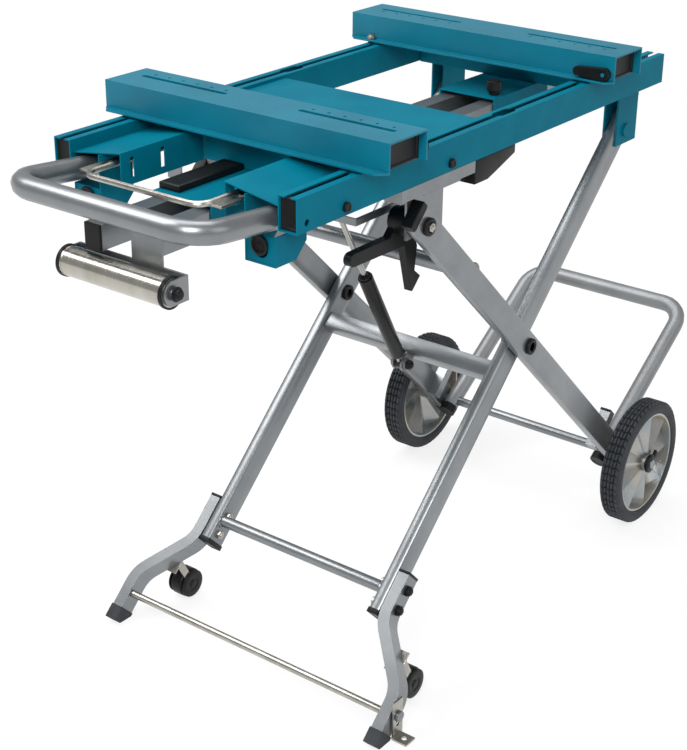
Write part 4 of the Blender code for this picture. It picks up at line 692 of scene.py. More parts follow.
@dataclass(frozen=True)
class Turned:
    """A small turned or six-sided form: a rod with a stepped upper face and rounded edges."""

    radius: float
    height: float
    steps_mm: Steps
    rounding_mm: float
    sides: int = 36
    segments: int = 2

    def made(self, name: str, place: Point = (0, 0, 0), turn: Turn = FLAT) -> Piece:
        """Model the form on a place, with local z turned."""
        rod = Piece.rod(name, self.radius, self.height, self.sides, place, turn)
        return rod.crown(*self.steps_mm).rounded(self.rounding_mm, self.segments)


@dataclass(frozen=True)
class Moulded:
    """A small moulded form: a block with a stepped upper face and rounded edges."""

    size: tuple[float, float, float]
    steps_mm: Steps
    rounding_mm: float
    segments: int = 2

    def made(self, name: str, place: Point, turn: Turn = FLAT) -> Piece:
        """Model the form on a place, with local z turned."""
        slab = Piece.slab(name, self.size, place, turn)
        return slab.crown(*self.steps_mm).rounded(self.rounding_mm, self.segments)


# Round black cap on a pivot, with a sunk middle.
PIVOT_CAP = Turned(0.0125, 0.0042, ((1.6, 0.9), (3.4, 0.0), (0.5, -1.3)), 0.5)
# Zinc nut with the bolt's end in it.
BOLT_END = Turned(0.0066, 0.0072, ((2.6, 0.0), (0.0, 1.9), (0.7, 0.5)), 0.35, sides=6)
# Black domed nut.
CAP_NUT = Turned(0.0085, 0.0048, ((1.6, 0.0), (0.3, 2.2), (1.4, 1.2), (1.5, 0.5)), 0.5, sides=6)
# The shallow sunk panel in a tube's end cap.
CAP_PANEL_MM: Steps = ((1.6, 0.0), (0.4, -0.6))


@dataclass(frozen=True)
class Layout:
    """The stand's middle plane, pivots and leg lines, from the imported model."""

    middle: float
    joints: dict[str, dict[str, Any]]
    foot_shift: float = 0.005
    wheel_radius: float = 0.1077

    @classmethod
    def read(cls, record: dict[str, Any]) -> Layout:
        """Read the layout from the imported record."""
        joints = {joint["name"]: joint for joint in record["behaviour"]["joints"]}
        return cls(joints["leg_fold"]["pos_m"][1], joints)

    def axis(self, joint: str) -> Vector:
        """A joint's place."""
        return Vector(self.joints[joint]["pos_m"])

    @property
    def slope(self) -> float:
        """The legs' slope with the stand open."""
        run = self.axis("leg_fold") - self.axis("scissor_cross")
        return math.atan2(run.z, run.x)

    @property
    def lean(self) -> tuple[float, float]:
        """The slope's cosine and sine."""
        return math.cos(self.slope), math.sin(self.slope)

    def foot(self, s: float, n: float, y: float) -> Vector:
        """Find a point by the foot leg.

        Args:
            s: distance down from the leg's pivot.
            n: distance to the leg's upper side.
            y: distance from the middle plane.

        Returns:
            The point.
        """
        top = self.axis("leg_fold")
        cos, sin = self.lean
        return Vector((top.x - s * cos - n * sin, self.middle + y, top.z - s * sin + n * cos))

    def up(self, distance: float, n: float, y: float) -> Vector:
        """Find a point by the foot leg, from the floor.

        Args:
            distance: distance up the leg from the floor.
            n: distance to the leg's upper side.
            y: distance from the middle plane.

        Returns:
            The point.
        """
        cos, sin = self.lean
        floor = (self.axis("leg_fold").z + self.foot_shift * cos) / sin
        return self.foot(floor - distance, n, y)

    def wheel(self, s: float, n: float, y: float) -> Vector:
        """Find a point by the wheel leg.

        Args:
            s: distance down from the carriage.
            n: distance to the leg's upper side.
            y: distance from the middle plane.

        Returns:
            The point.
        """
        top = self.axis("carriage_pivot")
        cos, sin = self.lean
        return Vector((top.x + s * cos + n * sin, self.middle + y, top.z - s * sin + n * cos))

    @property
    def axle_s(self) -> float:
        """The wheel axle's distance down the wheel leg."""
        drop = self.axis("carriage_pivot").z - self.wheel_radius
        return drop / math.sin(self.slope)

    @property
    def down_foot(self) -> Turn:
        """The turn that points local z down the foot leg."""
        return (0.0, math.atan2(-math.cos(self.slope), -math.sin(self.slope)), 0.0)

    @property
    def up_foot(self) -> Turn:
        """The turn that points local z up the foot leg."""
        return (0.0, math.atan2(math.cos(self.slope), math.sin(self.slope)), 0.0)

    @property
    def down_wheel(self) -> Turn:
        """The turn that points local z down the wheel leg."""
        return (0.0, math.atan2(math.cos(self.slope), -math.sin(self.slope)), 0.0)

    @property
    def off_wheel(self) -> Turn:
        """The turn that points local z off the wheel leg's upper side."""
        return (0.0, self.slope, 0.0)


@dataclass
class Assembly:
    """A sub-assembly: its nodes by finish, and the softening of their edges."""

    nodes: dict[str, bpy.types.Object]
    layout: Layout
    finishes: dict[str, Finish] = field(default_factory=dict)
    edge_mm: float = 0.5
    soft_edges_mm: dict[str, float] = field(default_factory=dict)
    merge: float = 0.00002
    flat_deg: float = 0.5
    sharp_deg: float = 38.0
    wide_edge_mm: float = 1.0

    def dress(self) -> None:
        """Give each node its finish and small rounded edges."""
        for name, finish in self.finishes.items():
            obj = self.nodes[name]
            obj.data.materials.clear()
            obj.data.materials.append(finish.material())
            self.soften(obj, self.soft_edges_mm.get(name, self.edge_mm))
            LOG.info("dressed %s in %s", name, finish.name)

    def soften(self, obj: bpy.types.Object, width_mm: float) -> None:
        """Round a node's edges with live modifiers.

        Args:
            obj: the node's object.
            width_mm: the rounding's width.
        """
        only(obj)
        if obj.data.has_custom_normals:
            bpy.ops.mesh.customdata_custom_splitnormals_clear()
        bpy.ops.object.shade_smooth()
        weld = obj.modifiers.new("merge", "WELD")
        weld.merge_threshold = self.merge
        flat = obj.modifiers.new("whole_faces", "DECIMATE")
        flat.decimate_type = "DISSOLVE"
        flat.angle_limit = math.radians(self.flat_deg)
        edge = obj.modifiers.new("rounded_edges", "BEVEL")
        edge.width = width_mm * MM
        edge.segments = 3 if width_mm > self.wide_edge_mm else 2
        edge.limit_method = "ANGLE"
        edge.angle_limit = math.radians(self.sharp_deg)
        edge.harden_normals = True

    def build(self) -> None:
        """Model the pieces that the solids leave plain."""


def named(finish: Finish, names: Iterable[str]) -> dict[str, Finish]:
    """Map several node names to one finish."""
    return {name: finish for name in names}


def both_sides(*names: str) -> list[str]:
    """Near and far names of pieces."""
    return [f"{side}_{name}" for name in names for side in ("near", "far")]


def both_ends(*names: str) -> list[str]:
    """Left and right names of pieces."""
    return [f"{end}_{name}" for name in names for end in ("left", "right")]


@dataclass
class Table(Assembly):
    """Rails, sheets, bars, handle and the small parts on them."""

    finishes: dict[str, Finish] = field(default_factory=lambda: {
        **named(TEAL, both_sides("rail", "side_tray", "end_bracket", "pivot_bracket")),
        **named(TEAL, ("deck_plate", "front_cross_member", "rear_cross_member", "front_arm_guide",
                       "rear_arm_guide")),
        **named(BAR_TEAL, both_ends("mounting_bar")), "carry_handle": SILVER, "release_bail": ZINC,
        **named(NYLON, ("front_arm_lock", "rear_arm_lock", *both_ends("clamp_lever")))})
    soft_edges_mm: dict[str, float] = field(default_factory=lambda: {
        name: 1.6 for name in ("front_arm_lock", "rear_arm_lock", *both_ends("clamp_lever"))})
    stop_gap: float = 0.0004
    stop_reach: float = 0.096
    stop_drop: float = 0.032
    stop_width: float = 0.0272
    stop_flat: float = 0.031
    stop_bend: float = 0.058
    stop_bend_drop: float = 0.0235
    stop_end_drop: float = 0.0105
    bend_play: float = 0.002
    cover: float = 0.0009
    cover_shift: float = 0.0006
    cover_round_mm: float = 0.8
    lip_wall: float = 0.0016
    lip_height: float = 0.0162
    lip_lap: float = 0.0008
    rail_bottom: float = 0.761
    rail_middle: float = 0.18475
    rail_out: float = 0.199
    rail_plug: Moulded = Moulded((0.0394, 0.0246, 0.008), ((2.2, 0.0), (0.6, -2.0)), 0.6)
    plug_inset: float = 0.003
    plug_rise: float = 0.022
    bolt_cap: Turned = Turned(0.0064, 0.0044, ((1.6, 0.7), (1.2, 0.0), (0.5, -0.9)), 0.5, sides=24)
    bolt_xs: tuple[float, float] = (0.091, 0.313)
    bolt_rise: float = 0.011
    bracket_ring: Turned = Turned(
        0.0128, 0.0022, ((1.2, 0.5), (2.0, 0.0), (0.6, -2.4), (6.0, 0.0), (0.5, 0.6)), 0.4)
    ring_height: float = 0.7375
    bar_plug: Moulded = Moulded((0.0734, 0.0354, 0.005), ((3.0, 0.0), (0.8, -1.4)), 0.6)
    bar_plug_inset: float = 0.011
    bar_wall: float = 0.0027
    # The black strip along the front guide's far edge is painted shade: a dark sheet where the gap to the
    # far tray lies in shade.
    pad_height: float = 0.008
    pad_width: float = 0.034
    pad_steps_mm: Steps = ((2.0, 1.2), (3.5, 0.0), (0.6, -0.8))
    pad_round_mm: float = 1.2
    pad_left: float = 0.012
    pad_right: float = 0.004
    pad_edge: float = 0.001
    bar_nut: Point = (0.1532, 0.193, 0.8128)

    def bumper(self, side: Side, left: float) -> None:
        """Model the nylon cover on a carriage stop.

        Args:
            side: the side of the stand.
            left: the stop's left end.
        """
        depth = self.stop_drop + self.cover
        bottom = self.rail_bottom - depth - HAIR
        size = (self.stop_reach + self.cover, self.stop_width + 2 * self.cover, depth)
        place = (left + size[0] / 2 + self.cover_shift,
                 self.layout.middle + side.value * self.rail_middle, bottom)
        piece = Piece.slab(f"{side.label}_stop_cover", size, place)
        piece.edit()
        low = -depth / 2
        for cut in (self.stop_flat, self.stop_bend):
            bpy.ops.mesh.select_all(action="SELECT")
            bpy.ops.mesh.bisect(plane_co=piece.obj.matrix_world @ Vector((cut - size[0] / 2, 0, 0)),
                                plane_no=(1, 0, 0))
        for at, drop in ((self.stop_bend, self.stop_bend_drop), (self.stop_reach, self.stop_end_drop)):
            piece.pick_points(lambda point: point.z < low + TOUCH
                              and abs(point.x + size[0] / 2 - at) < self.bend_play)
            bpy.ops.transform.translate(value=(0, 0, self.stop_drop - drop))
        piece.leave()
        lip = Piece.slab("lip", (self.lip_wall, size[1], self.lip_height),
                         (left - self.lip_wall / 2 + self.lip_lap, place[1], bottom))
        piece.joined(lip).rounded(self.cover_round_mm, 3).settle(NYLON, Body.TABLE)

    def rail_end(self, side: Side) -> None:
        """Model a rail's end plug and the caps on its bolts.

        Args:
            side: the side of the stand.
        """
        left = corners(f"{side.label}_rail")[0].x
        middle = self.layout.middle
        place = (left + self.plug_inset + self.rail_plug.size[2], middle + side.value * self.rail_middle,
                 self.rail_bottom + self.plug_rise)
        self.rail_plug.made(f"{side.label}_rail_plug", place, LEFTWARD).settle(NYLON, Body.TABLE)
        cap = self.bolt_cap.made("bolt_cap_pattern")
        for i, x in enumerate(self.bolt_xs):
            place = (left + x, middle + side.value * self.rail_out, self.rail_bottom + self.bolt_rise)
            cap.copy(f"{side.label}_rail_bolt_cap_{i}", place, side.outward).settle(NYLON, Body.TABLE)
        cap.scrap()

    def bracket_plug(self, side: Side) -> None:
        """Model the ringed plug in an end bracket's hole.

        Args:
            side: the side of the stand.
        """
        low, high = corners(f"{side.label}_end_bracket")
        place = (low.x - HAIR, (low.y + high.y) / 2, self.ring_height)
        self.bracket_ring.made(f"{side.label}_bracket_plug", place, LEFTWARD).settle(NYLON, Body.TABLE)

    def bar_plugs(self, end: str, body: Body) -> None:
        """Model the plugs set inside a mounting bar's ends.

        Args:
            end: "left" or "right".
            body: the bar's body.
        """
        low, high = corners(f"{end}_mounting_bar")
        _, height, depth = self.bar_plug.size
        for side in Side:
            place = ((low.x + high.x) / 2,
                     side.face(low, high) - side.value * (self.bar_plug_inset + depth),
                     high.z - self.bar_wall - height / 2)
            self.bar_plug.made(f"{end}_bar_plug_{side.label}", place, side.outward).settle(NYLON, body)

    def guide_pad(self) -> None:
        """Model the black nylon strip along the front guide's far edge, a dark sheet put where there is only
        shade: painted shade.
        """
        low, high = corners("front_arm_guide")
        left = low.x + self.pad_left
        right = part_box("front_cross_member")[0][0] - self.pad_right
        form = Moulded((right - left, self.pad_width, self.pad_height), self.pad_steps_mm,
                       self.pad_round_mm, 3)
        # Laid on the guide's far edge, where the gap to the far tray is in shade; its black is painted
        # shade.
        place = ((left + right) / 2, high.y - self.pad_width / 2 - self.pad_edge, high.z + HAIR)
        form.made("front_guide_pad", place).settle(NYLON, Body.TABLE)

    def build(self) -> None:
        """Model the stop covers, the plugs and caps, the painted-shade strip on the guide and the right
        bar's nut.
        """
        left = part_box("carriage")[1][0] + self.stop_gap
        for side in Side:
            self.bumper(side, left)
            self.rail_end(side)
            self.bracket_plug(side)
        self.guide_pad()
        self.bar_plugs("left", Body.LEFT_BAR)
        self.bar_plugs("right", Body.RIGHT_BAR)
        nut = BOLT_END.made("bolt_end_pattern")
        x, y, z = self.bar_nut
        nut.copy("right_bar_nut", (x, self.layout.middle + y, z), LEFTWARD).settle(ZINC, Body.RIGHT_BAR)
        nut.scrap()


@dataclass
class Extensions(Assembly):
    """Extension arms with their yokes and work rollers."""

    finishes: dict[str, Finish] = field(default_factory=lambda: {
        **named(SILVER, both_ends("arm", "roller_yoke")), **named(SPUN_ZINC, both_ends("roller")),
        **named(NYLON, both_ends("arm_plug"))})
    soft_edges_mm: dict[str, float] = field(default_factory=lambda: {
        name: 1.5 for name in both_ends("arm_plug")})
    roller_ring: Turned = Turned(0.0204, 0.0050, ((2.4, 0.0), (0.6, -1.0), (4.5, 0.0), (0.5, 0.8)), 0.8,
                                 sides=48, segments=3)
    ring_proud: float = 0.0006
    yoke_bolt: Turned = Turned(0.0092, 0.0018, ((2.6, 0.0), (0.2, 4.2), (1.0, 1.0)), 0.4, sides=32)
    bolt_sunk: float = 0.0005

    def build(self) -> None:
        """Model the rollers' end rings and the yokes' bolts."""
        ring = self.roller_ring.made("roller_ring_pattern")
        bolt = self.yoke_bolt.made("yoke_bolt_pattern")
        rides = (("left", Body.LEFT_ROLLER, Body.LEFT_EXTENSION, NYLON),
                 ("right", Body.RIGHT_ROLLER, Body.RIGHT_EXTENSION, ZINC))
        for end, roller, arm, finish in rides:
            low, high = corners(f"{end}_roller")
            yoke = corners(f"{end}_roller_yoke")
            axis = (low + high) / 2
            for side in Side:
                y = side.face(low, high) + side.value * (self.ring_proud - self.roller_ring.height)
                ring.copy(f"{end}_{side.label}_roller_ring", (axis.x, y, axis.z), side.outward).settle(
                    NYLON, roller)
                y = side.face(*yoke) - side.value * self.bolt_sunk
                bolt.copy(f"{end}_{side.label}_yoke_bolt", (axis.x, y, axis.z), side.outward).settle(
                    finish, arm)
        ring.scrap()
        bolt.scrap()


@dataclass
class FootLegs(Assembly):
    """Inner legs with feet, shoes, casters and their fasteners."""

    finishes: dict[str, Finish] = field(default_factory=lambda: {
        **named(SILVER, both_sides("foot_leg", "foot")), "mid_cross_tube": SILVER, "low_cross_tube": SILVER,
        "foot_tie_rod": ZINC, "levelling_foot": ZINC, **named(RUBBER, both_sides("foot_shoe")),
        **named(NYLON, both_sides("caster")), **named(ZINC, both_sides("caster_fork"))})
    soft_edges_mm: dict[str, float] = field(default_factory=lambda: {
        **{name: 1.8 for name in both_sides("foot_shoe")}, **{name: 2.2 for name in both_sides("foot")},
        **{name: 3.0 for name in both_sides("caster")}})
    leg_in: float = 0.152
    leg_y: float = 0.161
    leg_depth: float = 0.040
    leg_thickness: float = 0.018
    leg_end_up: float = 0.1697
    leg_cap_length: float = 0.008
    leg_cap_round_mm: float = 0.9
    foot_y: float = 0.1793
    foot_face: float = 0.1883
    foot_depth: float = 0.030
    foot_top_up: float = 0.2377
    foot_cap_length: float = 0.0042
    foot_cap_sunk: float = 0.0012
    foot_cap_round_mm: float = 0.8
    cap_lap: float = 0.0008
    bolt_ups: tuple[float, float] = (0.2167, 0.1857)
    bolt_sunk: float = 0.0006
    nut_gap: float = 0.0001
    low_tube_up: float = 0.2072
    low_tube_shift: float = 0.009
    low_tube_radius: float = 0.009
    bead_lift: float = 0.0004
    bead_width: float = 0.0036
    pin_out: float = 0.1906
    caster_y: float = 0.214
    caster_half: float = 0.011
    saddle: tuple[float, float] = (0.027, 0.034)
    saddle_gap: float = 0.0003
    strap_width: float = 0.012
    strap_wall: float = 0.002
    strap_up: float = 0.122
    strap_lap: float = 0.0006
    strap_gap: float = 0.0004
    strap_end: float = 0.47
    strap_round_mm: float = 0.4
    caster_cover: Turned = Turned(
        0.0224, 0.0022, ((1.5, 0.8), (10.0, 0.0), (0.6, -0.7), (4.4, 0.0), (0.4, 1.4)), 0.5)

    def caster_fork(self, side: Side) -> None:
        """Model a caster's strap fork and the covers on its axle.

        Args:
            side: the side of the stand.
        """
        layout = self.layout
        axis = layout.axis(f"{side.label}_caster_spin")
        y = side.value * self.caster_y
        rear = layout.foot_shift - self.foot_depth / 2 - self.strap_wall / 2 - self.saddle_gap
        fork = Piece.slab(f"{side.label}_strap_fork", (self.strap_wall, *self.saddle),
                          layout.up(self.strap_up - self.saddle[1] / 2, rear, y), layout.up_foot)
        start = layout.up(self.strap_up, rear - self.strap_lap, y)
        run = axis - start
        height = math.hypot(run.x, run.z) + self.strap_width / 2
        turn = (0.0, math.atan2(run.x, run.z), 0.0)
        strap = Piece.slab("strap_pattern", (self.strap_width, self.strap_wall, height))
        strap.edit()
        strap.pick_edges(lambda a, b: min(a.z, b.z) > height / 2 - TOUCH
                         and abs(a.y - b.y) > self.strap_wall / 2)
        bpy.ops.mesh.bevel(offset=self.strap_width * self.strap_end, segments=5, affect="EDGES")
        strap.leave()
        cover = self.caster_cover.made("caster_cover_pattern")
        gap = self.caster_half + self.strap_gap
        straps = []
        for flank in (Side.FAR, Side.NEAR):
            offset = Vector((0, flank.value * (gap + self.strap_wall / 2), 0))
            straps.append(strap.copy(f"strap_{flank.label}", start + offset, turn))
            place = (axis.x, layout.middle + y + flank.value * (gap + self.strap_wall), axis.z)
            cover.copy(f"{side.label}_caster_cover_{flank.label}", place, flank.outward).settle(
                NYLON, Body.FOOT_LEGS)
        strap.scrap()
        cover.scrap()
        fork.joined(*straps).rounded(self.strap_round_mm)
        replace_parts(fork.settle(ZINC, Body.FOOT_LEGS), f"{side.label}_caster_fork")

    def end_caps(self, side: Side) -> None:
        """Model the black caps on a leg's lower end and a foot's upper end.

        Args:
            side: the side of the stand.
        """
        layout = self.layout
        thickness = self.leg_thickness + self.cap_lap / 2
        form = Moulded((self.leg_depth + self.cap_lap, thickness, self.leg_cap_length), CAP_PANEL_MM,
                       self.leg_cap_round_mm, 3)
        place = layout.up(self.leg_end_up + self.leg_cap_length / 2, 0, side.value * self.leg_y)
        form.made(f"{side.label}_leg_end_cap", place, layout.down_foot).settle(NYLON, Body.FOOT_LEGS)
        form = Moulded((self.foot_depth + self.cap_lap, thickness, self.foot_cap_length), CAP_PANEL_MM,
                       self.foot_cap_round_mm, 3)
        place = layout.up(self.foot_top_up - self.foot_cap_sunk, layout.foot_shift, side.value * self.foot_y)
        form.made(f"{side.label}_foot_top_cap", place, layout.up_foot).settle(NYLON, Body.FOOT_LEGS)

    def build(self) -> None:
        """Model caps, forks, nuts, bolts and weld beads."""
        layout = self.layout
        cap = PIVOT_CAP.made("pivot_cap_pattern")
        nut = BOLT_END.made("bolt_end_pattern")
        dome = CAP_NUT.made("cap_nut_pattern")
        crossing = layout.axis("scissor_cross")
        for side in Side:
            self.end_caps(side)
            self.caster_fork(side)
            for i, up in enumerate(self.bolt_ups):
                place = layout.up(up, layout.foot_shift, side.value * (self.foot_face + self.nut_gap))
                dome.copy(f"{side.label}_foot_nut_{i}", place, side.outward).settle(NYLON, Body.FOOT_LEGS)
                place = layout.up(up, layout.foot_shift, side.value * (self.leg_in + self.bolt_sunk))
                nut.copy(f"{side.label}_foot_bolt_{i}", place, side.inward).settle(ZINC, Body.FOOT_LEGS)
            faces = (("outer", self.pin_out, side.outward), ("inner", self.leg_in - HAIR, side.inward))
            for label, y, turn in faces:
                place = (crossing.x, layout.middle + side.value * y, crossing.z)
                cap.copy(f"{side.label}_crossing_cap_{label}", place, turn).settle(NYLON, Body.FOOT_LEGS)
            place = layout.up(self.low_tube_up, self.low_tube_shift, side.value * self.leg_in)
            bead = Piece.bead(f"{side.label}_low_tube_weld", self.low_tube_radius + self.bead_lift,
                              self.bead_width, place)
            bead.settle(SILVER, Body.FOOT_LEGS)
        for pattern in (cap, nut, dome):
            pattern.scrap()


@dataclass
class Wheel:
    """A wheel: the treaded tyre and the pleated rim, about one axis."""

    side: Side
    body: Body
    rim_radius: float = 0.0878
    tyre_lap: float = 0.0005
    tyre_inset: float = 0.0008
    base_drop: float = 0.0038
    shoulder: float = 0.0024
    tread_columns: int = 5
    tread_steps: int = 52
    tread_zigzag: float = 0.0055
    tread_gap: float = 0.0013
    tread_lean: float = 0.12
    tread_band: float = 0.0012
    wall_lean: float = 0.97
    wall_margin: float = 0.0022
    wall_rise: float = 0.0008
    tyre_smooth_deg: float = 30.0
    band: float = 0.0045
    band_inset: float = 0.003
    band_corner: float = 0.0012
    band_steps: int = 72
    hub_bore: float = 0.0084
    hub_radius: float = 0.0130
    hub_half: float = 0.0172
    hub_corner: float = 0.0018
    hub_steps: int = 40
    pleats: int = 9
    pleat_rise: float = 0.0085
    pleat_wave: tuple[float, ...] = (0.96, 0.52, 0.0, -0.52, -0.96, -0.52, 0.0, 0.52)
    dish: float = 0.0135
    disc_lap: float = 0.001
    disc_wall: float = 0.003
    rim_smooth_deg: float = 22.0

    def tyre(self) -> bpy.types.Object:
        """Model the tyre with its block tread.

        Returns:
            The tyre, which stands for its plain solid.
        """
        low, high = corners(f"{self.side.label}_wheel_tyre")
        centre = (low + high) / 2
        outer = (high.z - low.z) / 2 - self.base_drop
        inner = self.rim_radius - self.tyre_lap
        half = (high.y - low.y) / 2 - self.tyre_inset
        tyre = Piece.spun(f"{self.side.label}_treaded_tyre", centre, inner, outer, half, self.shoulder,
                          self.tread_steps, self.tread_columns, self.tread_zigzag)
        tyre.edit()
        tyre.pick(lambda at, normal: abs(normal.y) < self.tread_lean
                  and math.hypot(at.x - centre.x, at.z - centre.z) > outer - self.tread_band)
        bpy.ops.mesh.inset(thickness=self.tread_gap, depth=self.base_drop, use_individual=True)
        tyre.pick(lambda at, normal: abs(normal.y) > self.wall_lean)
        bpy.ops.mesh.inset(thickness=self.wall_margin, depth=0.0)
        bpy.ops.mesh.inset(thickness=self.wall_rise, depth=self.wall_rise)
        tyre.leave()
        obj = tyre.settle(RUBBER, self.body, self.tyre_smooth_deg)
        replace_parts(obj, f"{self.side.label}_wheel_tyre")
        return obj

    def rim(self) -> bpy.types.Object:
        """Model the rim: outer band, pleated disc and hub.

        Returns:
            The rim, which stands for its plain solid.
        """
        name = f"{self.side.label}_wheel_rim"
        low, high = corners(name)
        centre = (low + high) / 2
        outer = self.rim_radius
        half = (high.y - low.y) / 2
        band = Piece.spun(f"{self.side.label}_pleated_rim", centre, outer - self.band, outer,
                          half - self.band_inset, self.band_corner, self.band_steps)
        hub = Piece.spun("hub", centre, self.hub_bore, self.hub_radius, self.hub_half, self.hub_corner,
                         self.hub_steps)
        points = len(self.pleat_wave)
        bpy.ops.object.select_all(action="DESELECT")
        bpy.ops.mesh.primitive_circle_add(vertices=points * self.pleats,
                                          radius=outer - self.band + self.disc_lap,
                                          fill_type="TRIFAN", location=centre, rotation=self.side.outward)
        disc = Piece.taken("disc")
        disc.edit()
        step = 2 * math.pi / (points * self.pleats)
        for remainder, share in enumerate(self.pleat_wave):
            disc.pick_points(lambda at: math.hypot(at.x, at.y) > outer / 2
                             and round(math.atan2(at.y, at.x) / step) % points == remainder)
            bpy.ops.transform.translate(value=(0, self.side.value * share * self.pleat_rise, 0))
        disc.pick_points(lambda at: math.hypot(at.x, at.y) < outer / 2)
        bpy.ops.transform.translate(value=(0, self.side.value * self.dish, 0))
        disc.leave()
        wall = disc.obj.modifiers.new("wall", "SOLIDIFY")
        wall.thickness = self.disc_wall
        wall.offset = 0.0
        bpy.ops.object.modifier_apply(modifier=wall.name)
        obj = band.joined(hub, disc).settle(RIM, self.body, self.rim_smooth_deg)
        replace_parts(obj, name)
        return obj

    def build(self) -> None:
        """Model the whole wheel."""
        self.tyre()
        self.rim()


@dataclass
class WheelLegs(Assembly):
    """Outer legs with the wheels, the rest bar and their caps."""

    finishes: dict[str, Finish] = field(default_factory=lambda: {
        **named(SILVER, both_sides("wheel_leg")), "high_cross_tube": SILVER, "rest_bar": TUBE_SILVER,
        "wheel_axle": SILVER, **named(NYLON, both_sides("wheel_leg_cap", "axle_clip")),
        **named(RIM, both_sides("wheel_rim")), **named(RUBBER, both_sides("wheel_tyre"))})
    soft_edges_mm: dict[str, float] = field(default_factory=lambda: {
        name: 3.0 for name in both_sides("wheel_leg_cap")})
    leg_y: float = 0.181
    leg_in: float = 0.172
    leg_depth: float = 0.040
    leg_thickness: float = 0.018
    tail: float = 0.028
    tail_cover: float = 0.022
    tail_past: float = 0.004
    tail_lap: tuple[float, float] = (0.0008, 0.0006)
    cap_round_mm: float = 0.9
    stub_before_axle: float = 0.064
    stub_size: float = 0.018
    stub_rise: float = 0.050
    stub_cap: Moulded = Moulded((0.0192, 0.0192, 0.0044), ((2.0, 0.0), (0.4, -0.5)), 0.9, 3)
    stub_cap_sunk: float = 0.0041
    high_tube_s: float = 0.1787
    high_tube_shift: float = 0.0177
    high_tube_radius: float = 0.0115
    bead_lift: float = 0.0004
    bead_width: float = 0.004
    clip_radius: float = 0.0160
    clip_height: float = 0.0046
    clip_steps_mm: Steps = ((1.6, 0.0), (0.8, 1.0))
    clip_round_mm: float = 0.8
    wing: float = 0.010
    wing_way: tuple[float, float] = (0.87, 0.5)
    wing_spread: float = 0.93
    rest_y: float = 0.1577
    rest_angle_deg: float = 34.2
    rest_cap: Turned = Turned(0.0146, 0.0135, ((2.0, 0.6), (1.5, 0.0), (0.5, -0.5)), 0.7, segments=3)
    rest_cap_start: float = 0.014

    def clip(self, side: Side) -> None:
        """Model the winged clip that holds a wheel on the axle.

        Args:
            side: the side of the stand.
        """
        low, high = corners(f"{side.label}_axle_clip")
        middle = (low + high) / 2
        start = low.y if side is Side.FAR else high.y
        piece = Piece.rod(f"{side.label}_winged_clip", self.clip_radius, self.clip_height, 36,
                          (middle.x, start, middle.z), side.outward)
        across, along = self.wing_way
        piece.edit()
        piece.pick(lambda at, normal: abs(normal.z) < 0.1
                   and normal.x * across - side.value * normal.y * along > self.wing_spread)
        bpy.ops.mesh.inset(thickness=0.0, depth=self.wing)
        piece.leave()
        piece.crown(*self.clip_steps_mm).rounded(self.clip_round_mm, 3)
        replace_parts(piece.settle(NYLON, Body.WHEEL_LEGS), f"{side.label}_axle_clip")

    def caps(self, side: Side) -> None:
        """Model the black caps on the rest bar's end, the leg's tail and the fold stop.

        Args:
            side: the side of the stand.
        """
        layout = self.layout
        angle = math.radians(self.rest_angle_deg)
        along = Vector((-math.cos(angle), 0, -math.sin(angle)))
        place = layout.wheel(layout.axle_s, 0, side.value * self.rest_y) + along * self.rest_cap_start
        turn = (0.0, math.atan2(along.x, along.z), 0.0)
        self.rest_cap.made(f"{side.label}_rest_bar_cap", place, turn).settle(NYLON, Body.WHEEL_LEGS)
        size = (self.leg_depth + self.tail_lap[0], self.leg_thickness + self.tail_lap[1], self.tail_cover)
        start = layout.axle_s + self.tail + self.tail_past - self.tail_cover
        Moulded(size, CAP_PANEL_MM, self.cap_round_mm, 3).made(
            f"{side.label}_leg_tail_cap", layout.wheel(start, 0, side.value * self.leg_y),
            layout.down_wheel).settle(NYLON, Body.WHEEL_LEGS)
        place = layout.wheel(layout.axle_s - self.stub_before_axle, self.stub_rise - self.stub_cap_sunk,
                             side.value * (self.leg_in - self.stub_size / 2))
        self.stub_cap.made(f"{side.label}_stop_cap", place, layout.off_wheel).settle(NYLON, Body.WHEEL_LEGS)

    def build(self) -> None:
        """Model wheels, clips, caps and weld beads."""
        for side, body in ((Side.NEAR, Body.NEAR_WHEEL), (Side.FAR, Body.FAR_WHEEL)):
            Wheel(side, body).build()
            self.clip(side)
            self.caps(side)
            place = self.layout.wheel(self.high_tube_s, self.high_tube_shift, side.value * self.leg_in)
            bead = Piece.bead(f"{side.label}_high_tube_weld", self.high_tube_radius + self.bead_lift,
                              self.bead_width, place)
            bead.settle(SILVER, Body.WHEEL_LEGS)


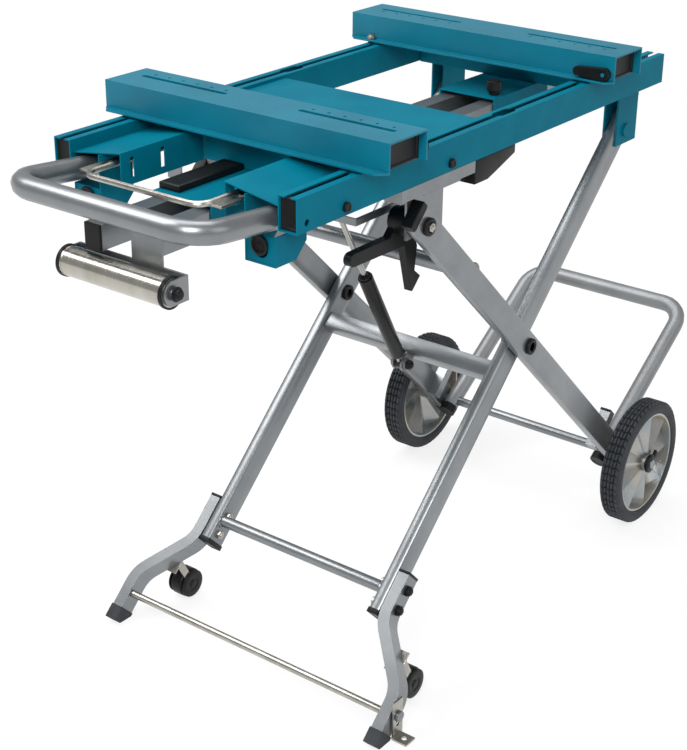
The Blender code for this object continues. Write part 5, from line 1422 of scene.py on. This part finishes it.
@dataclass
class Carriage(Assembly):
    """The sliding carriage with its latch lever and gas strut."""

    finishes: dict[str, Finish] = field(default_factory=lambda: {
        "carriage": SILVER, "latch_lever": NYLON, "strut_cylinder": PAINT, "strut_rod": CHROME})
    soft_edges_mm: dict[str, float] = field(default_factory=lambda: {"latch_lever": 2.2})
    pin_out: float = 0.1906
    latch_boss: Turned = Turned(0.0205, 0.0178, ((2.5, 0.0), (0.5, -0.8)), 1.4, sides=40, segments=3)
    boss_sunk: float = 0.0004
    body_top: float = 0.198
    neck: Turned = Turned(0.0062, 0.0136, ((0.0, 0.0), (0.6, 0.5)), 0.6, sides=28)
    neck_start: float = 0.0062
    sleeve_radius: float = 0.0112
    sleeve_start: float = 0.0205
    sleeve_short: float = 0.003
    sleeve_steps_mm: Steps = ((1.4, 0.0), (0.4, -0.6))
    sleeve_round_mm: float = 0.9
    collar: Turned = Turned(0.0094, 0.0085, ((1.4, 0.0), (1.2, 1.4)), 0.6, sides=32, segments=3)
    collar_lap: float = 0.0078
    pin_head: float = 0.0136

    def pivots(self) -> None:
        """Model the caps and nuts on the carriage's pivots and the latch's boss."""
        pivot = self.layout.axis("carriage_pivot")
        cap = PIVOT_CAP.made("pivot_cap_pattern")
        nut = BOLT_END.made("bolt_end_pattern")
        for side in Side:
            place = (pivot.x, self.layout.middle + side.value * self.pin_out, pivot.z)
            cap.copy(f"{side.label}_carriage_cap", place, side.outward).settle(NYLON, Body.CARRIAGE)
            nut.copy(f"{side.label}_carriage_nut", place, side.outward).settle(ZINC, Body.CARRIAGE)
        cap.scrap()
        nut.scrap()
        place = (pivot.x, corners("latch_lever")[0].y + self.boss_sunk, pivot.z)
        self.latch_boss.made("latch_boss", place, Side.NEAR.outward).settle(NYLON, Body.LATCH)

    def strut(self) -> None:
        """Model the strut's end fitting, sleeve, pin nut and seal collar."""
        low = self.layout.axis("strut_swing")
        along = Vector(self.layout.joints["strut_stroke"]["axis"]).normalized()
        turn = (0.0, math.atan2(along.x, along.z), 0.0)
        self.neck.made("strut_end_fitting", low + along * self.neck_start, turn).settle(ZINC, Body.STRUT)
        sleeve = Turned(self.sleeve_radius, self.body_top - self.sleeve_start - self.sleeve_short,
                        self.sleeve_steps_mm, self.sleeve_round_mm, sides=40, segments=3)
        sleeve.made("strut_sleeve", low + along * self.sleeve_start, turn).settle(PAINT, Body.STRUT)
        head = CAP_NUT.made("cap_nut_pattern")
        head.copy("strut_pin_nut", low + Vector((0, -self.pin_head, 0)), Side.NEAR.outward).settle(
            NYLON, Body.FOOT_LEGS)
        head.scrap()
        place = low + along * (self.body_top - self.collar_lap)
        self.collar.made("strut_seal_collar", place, turn).settle(PAINT, Body.STRUT)

    def build(self) -> None:
        """Model the pivots' caps and the strut's fittings."""
        self.pivots()
        self.strut()


def main() -> None:
    """Build the studio and the stand."""
    logging.basicConfig(level=logging.INFO, format="%(message)s")
    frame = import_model()
    nodes = frame["nodes"]
    layout = Layout.read(frame["record"])
    Studio().build()
    for kind in (Table, Extensions, FootLegs, WheelLegs, Carriage):
        part = kind(nodes, layout)
        part.dress()
        part.build()


if __name__ == "__main__":
    main()
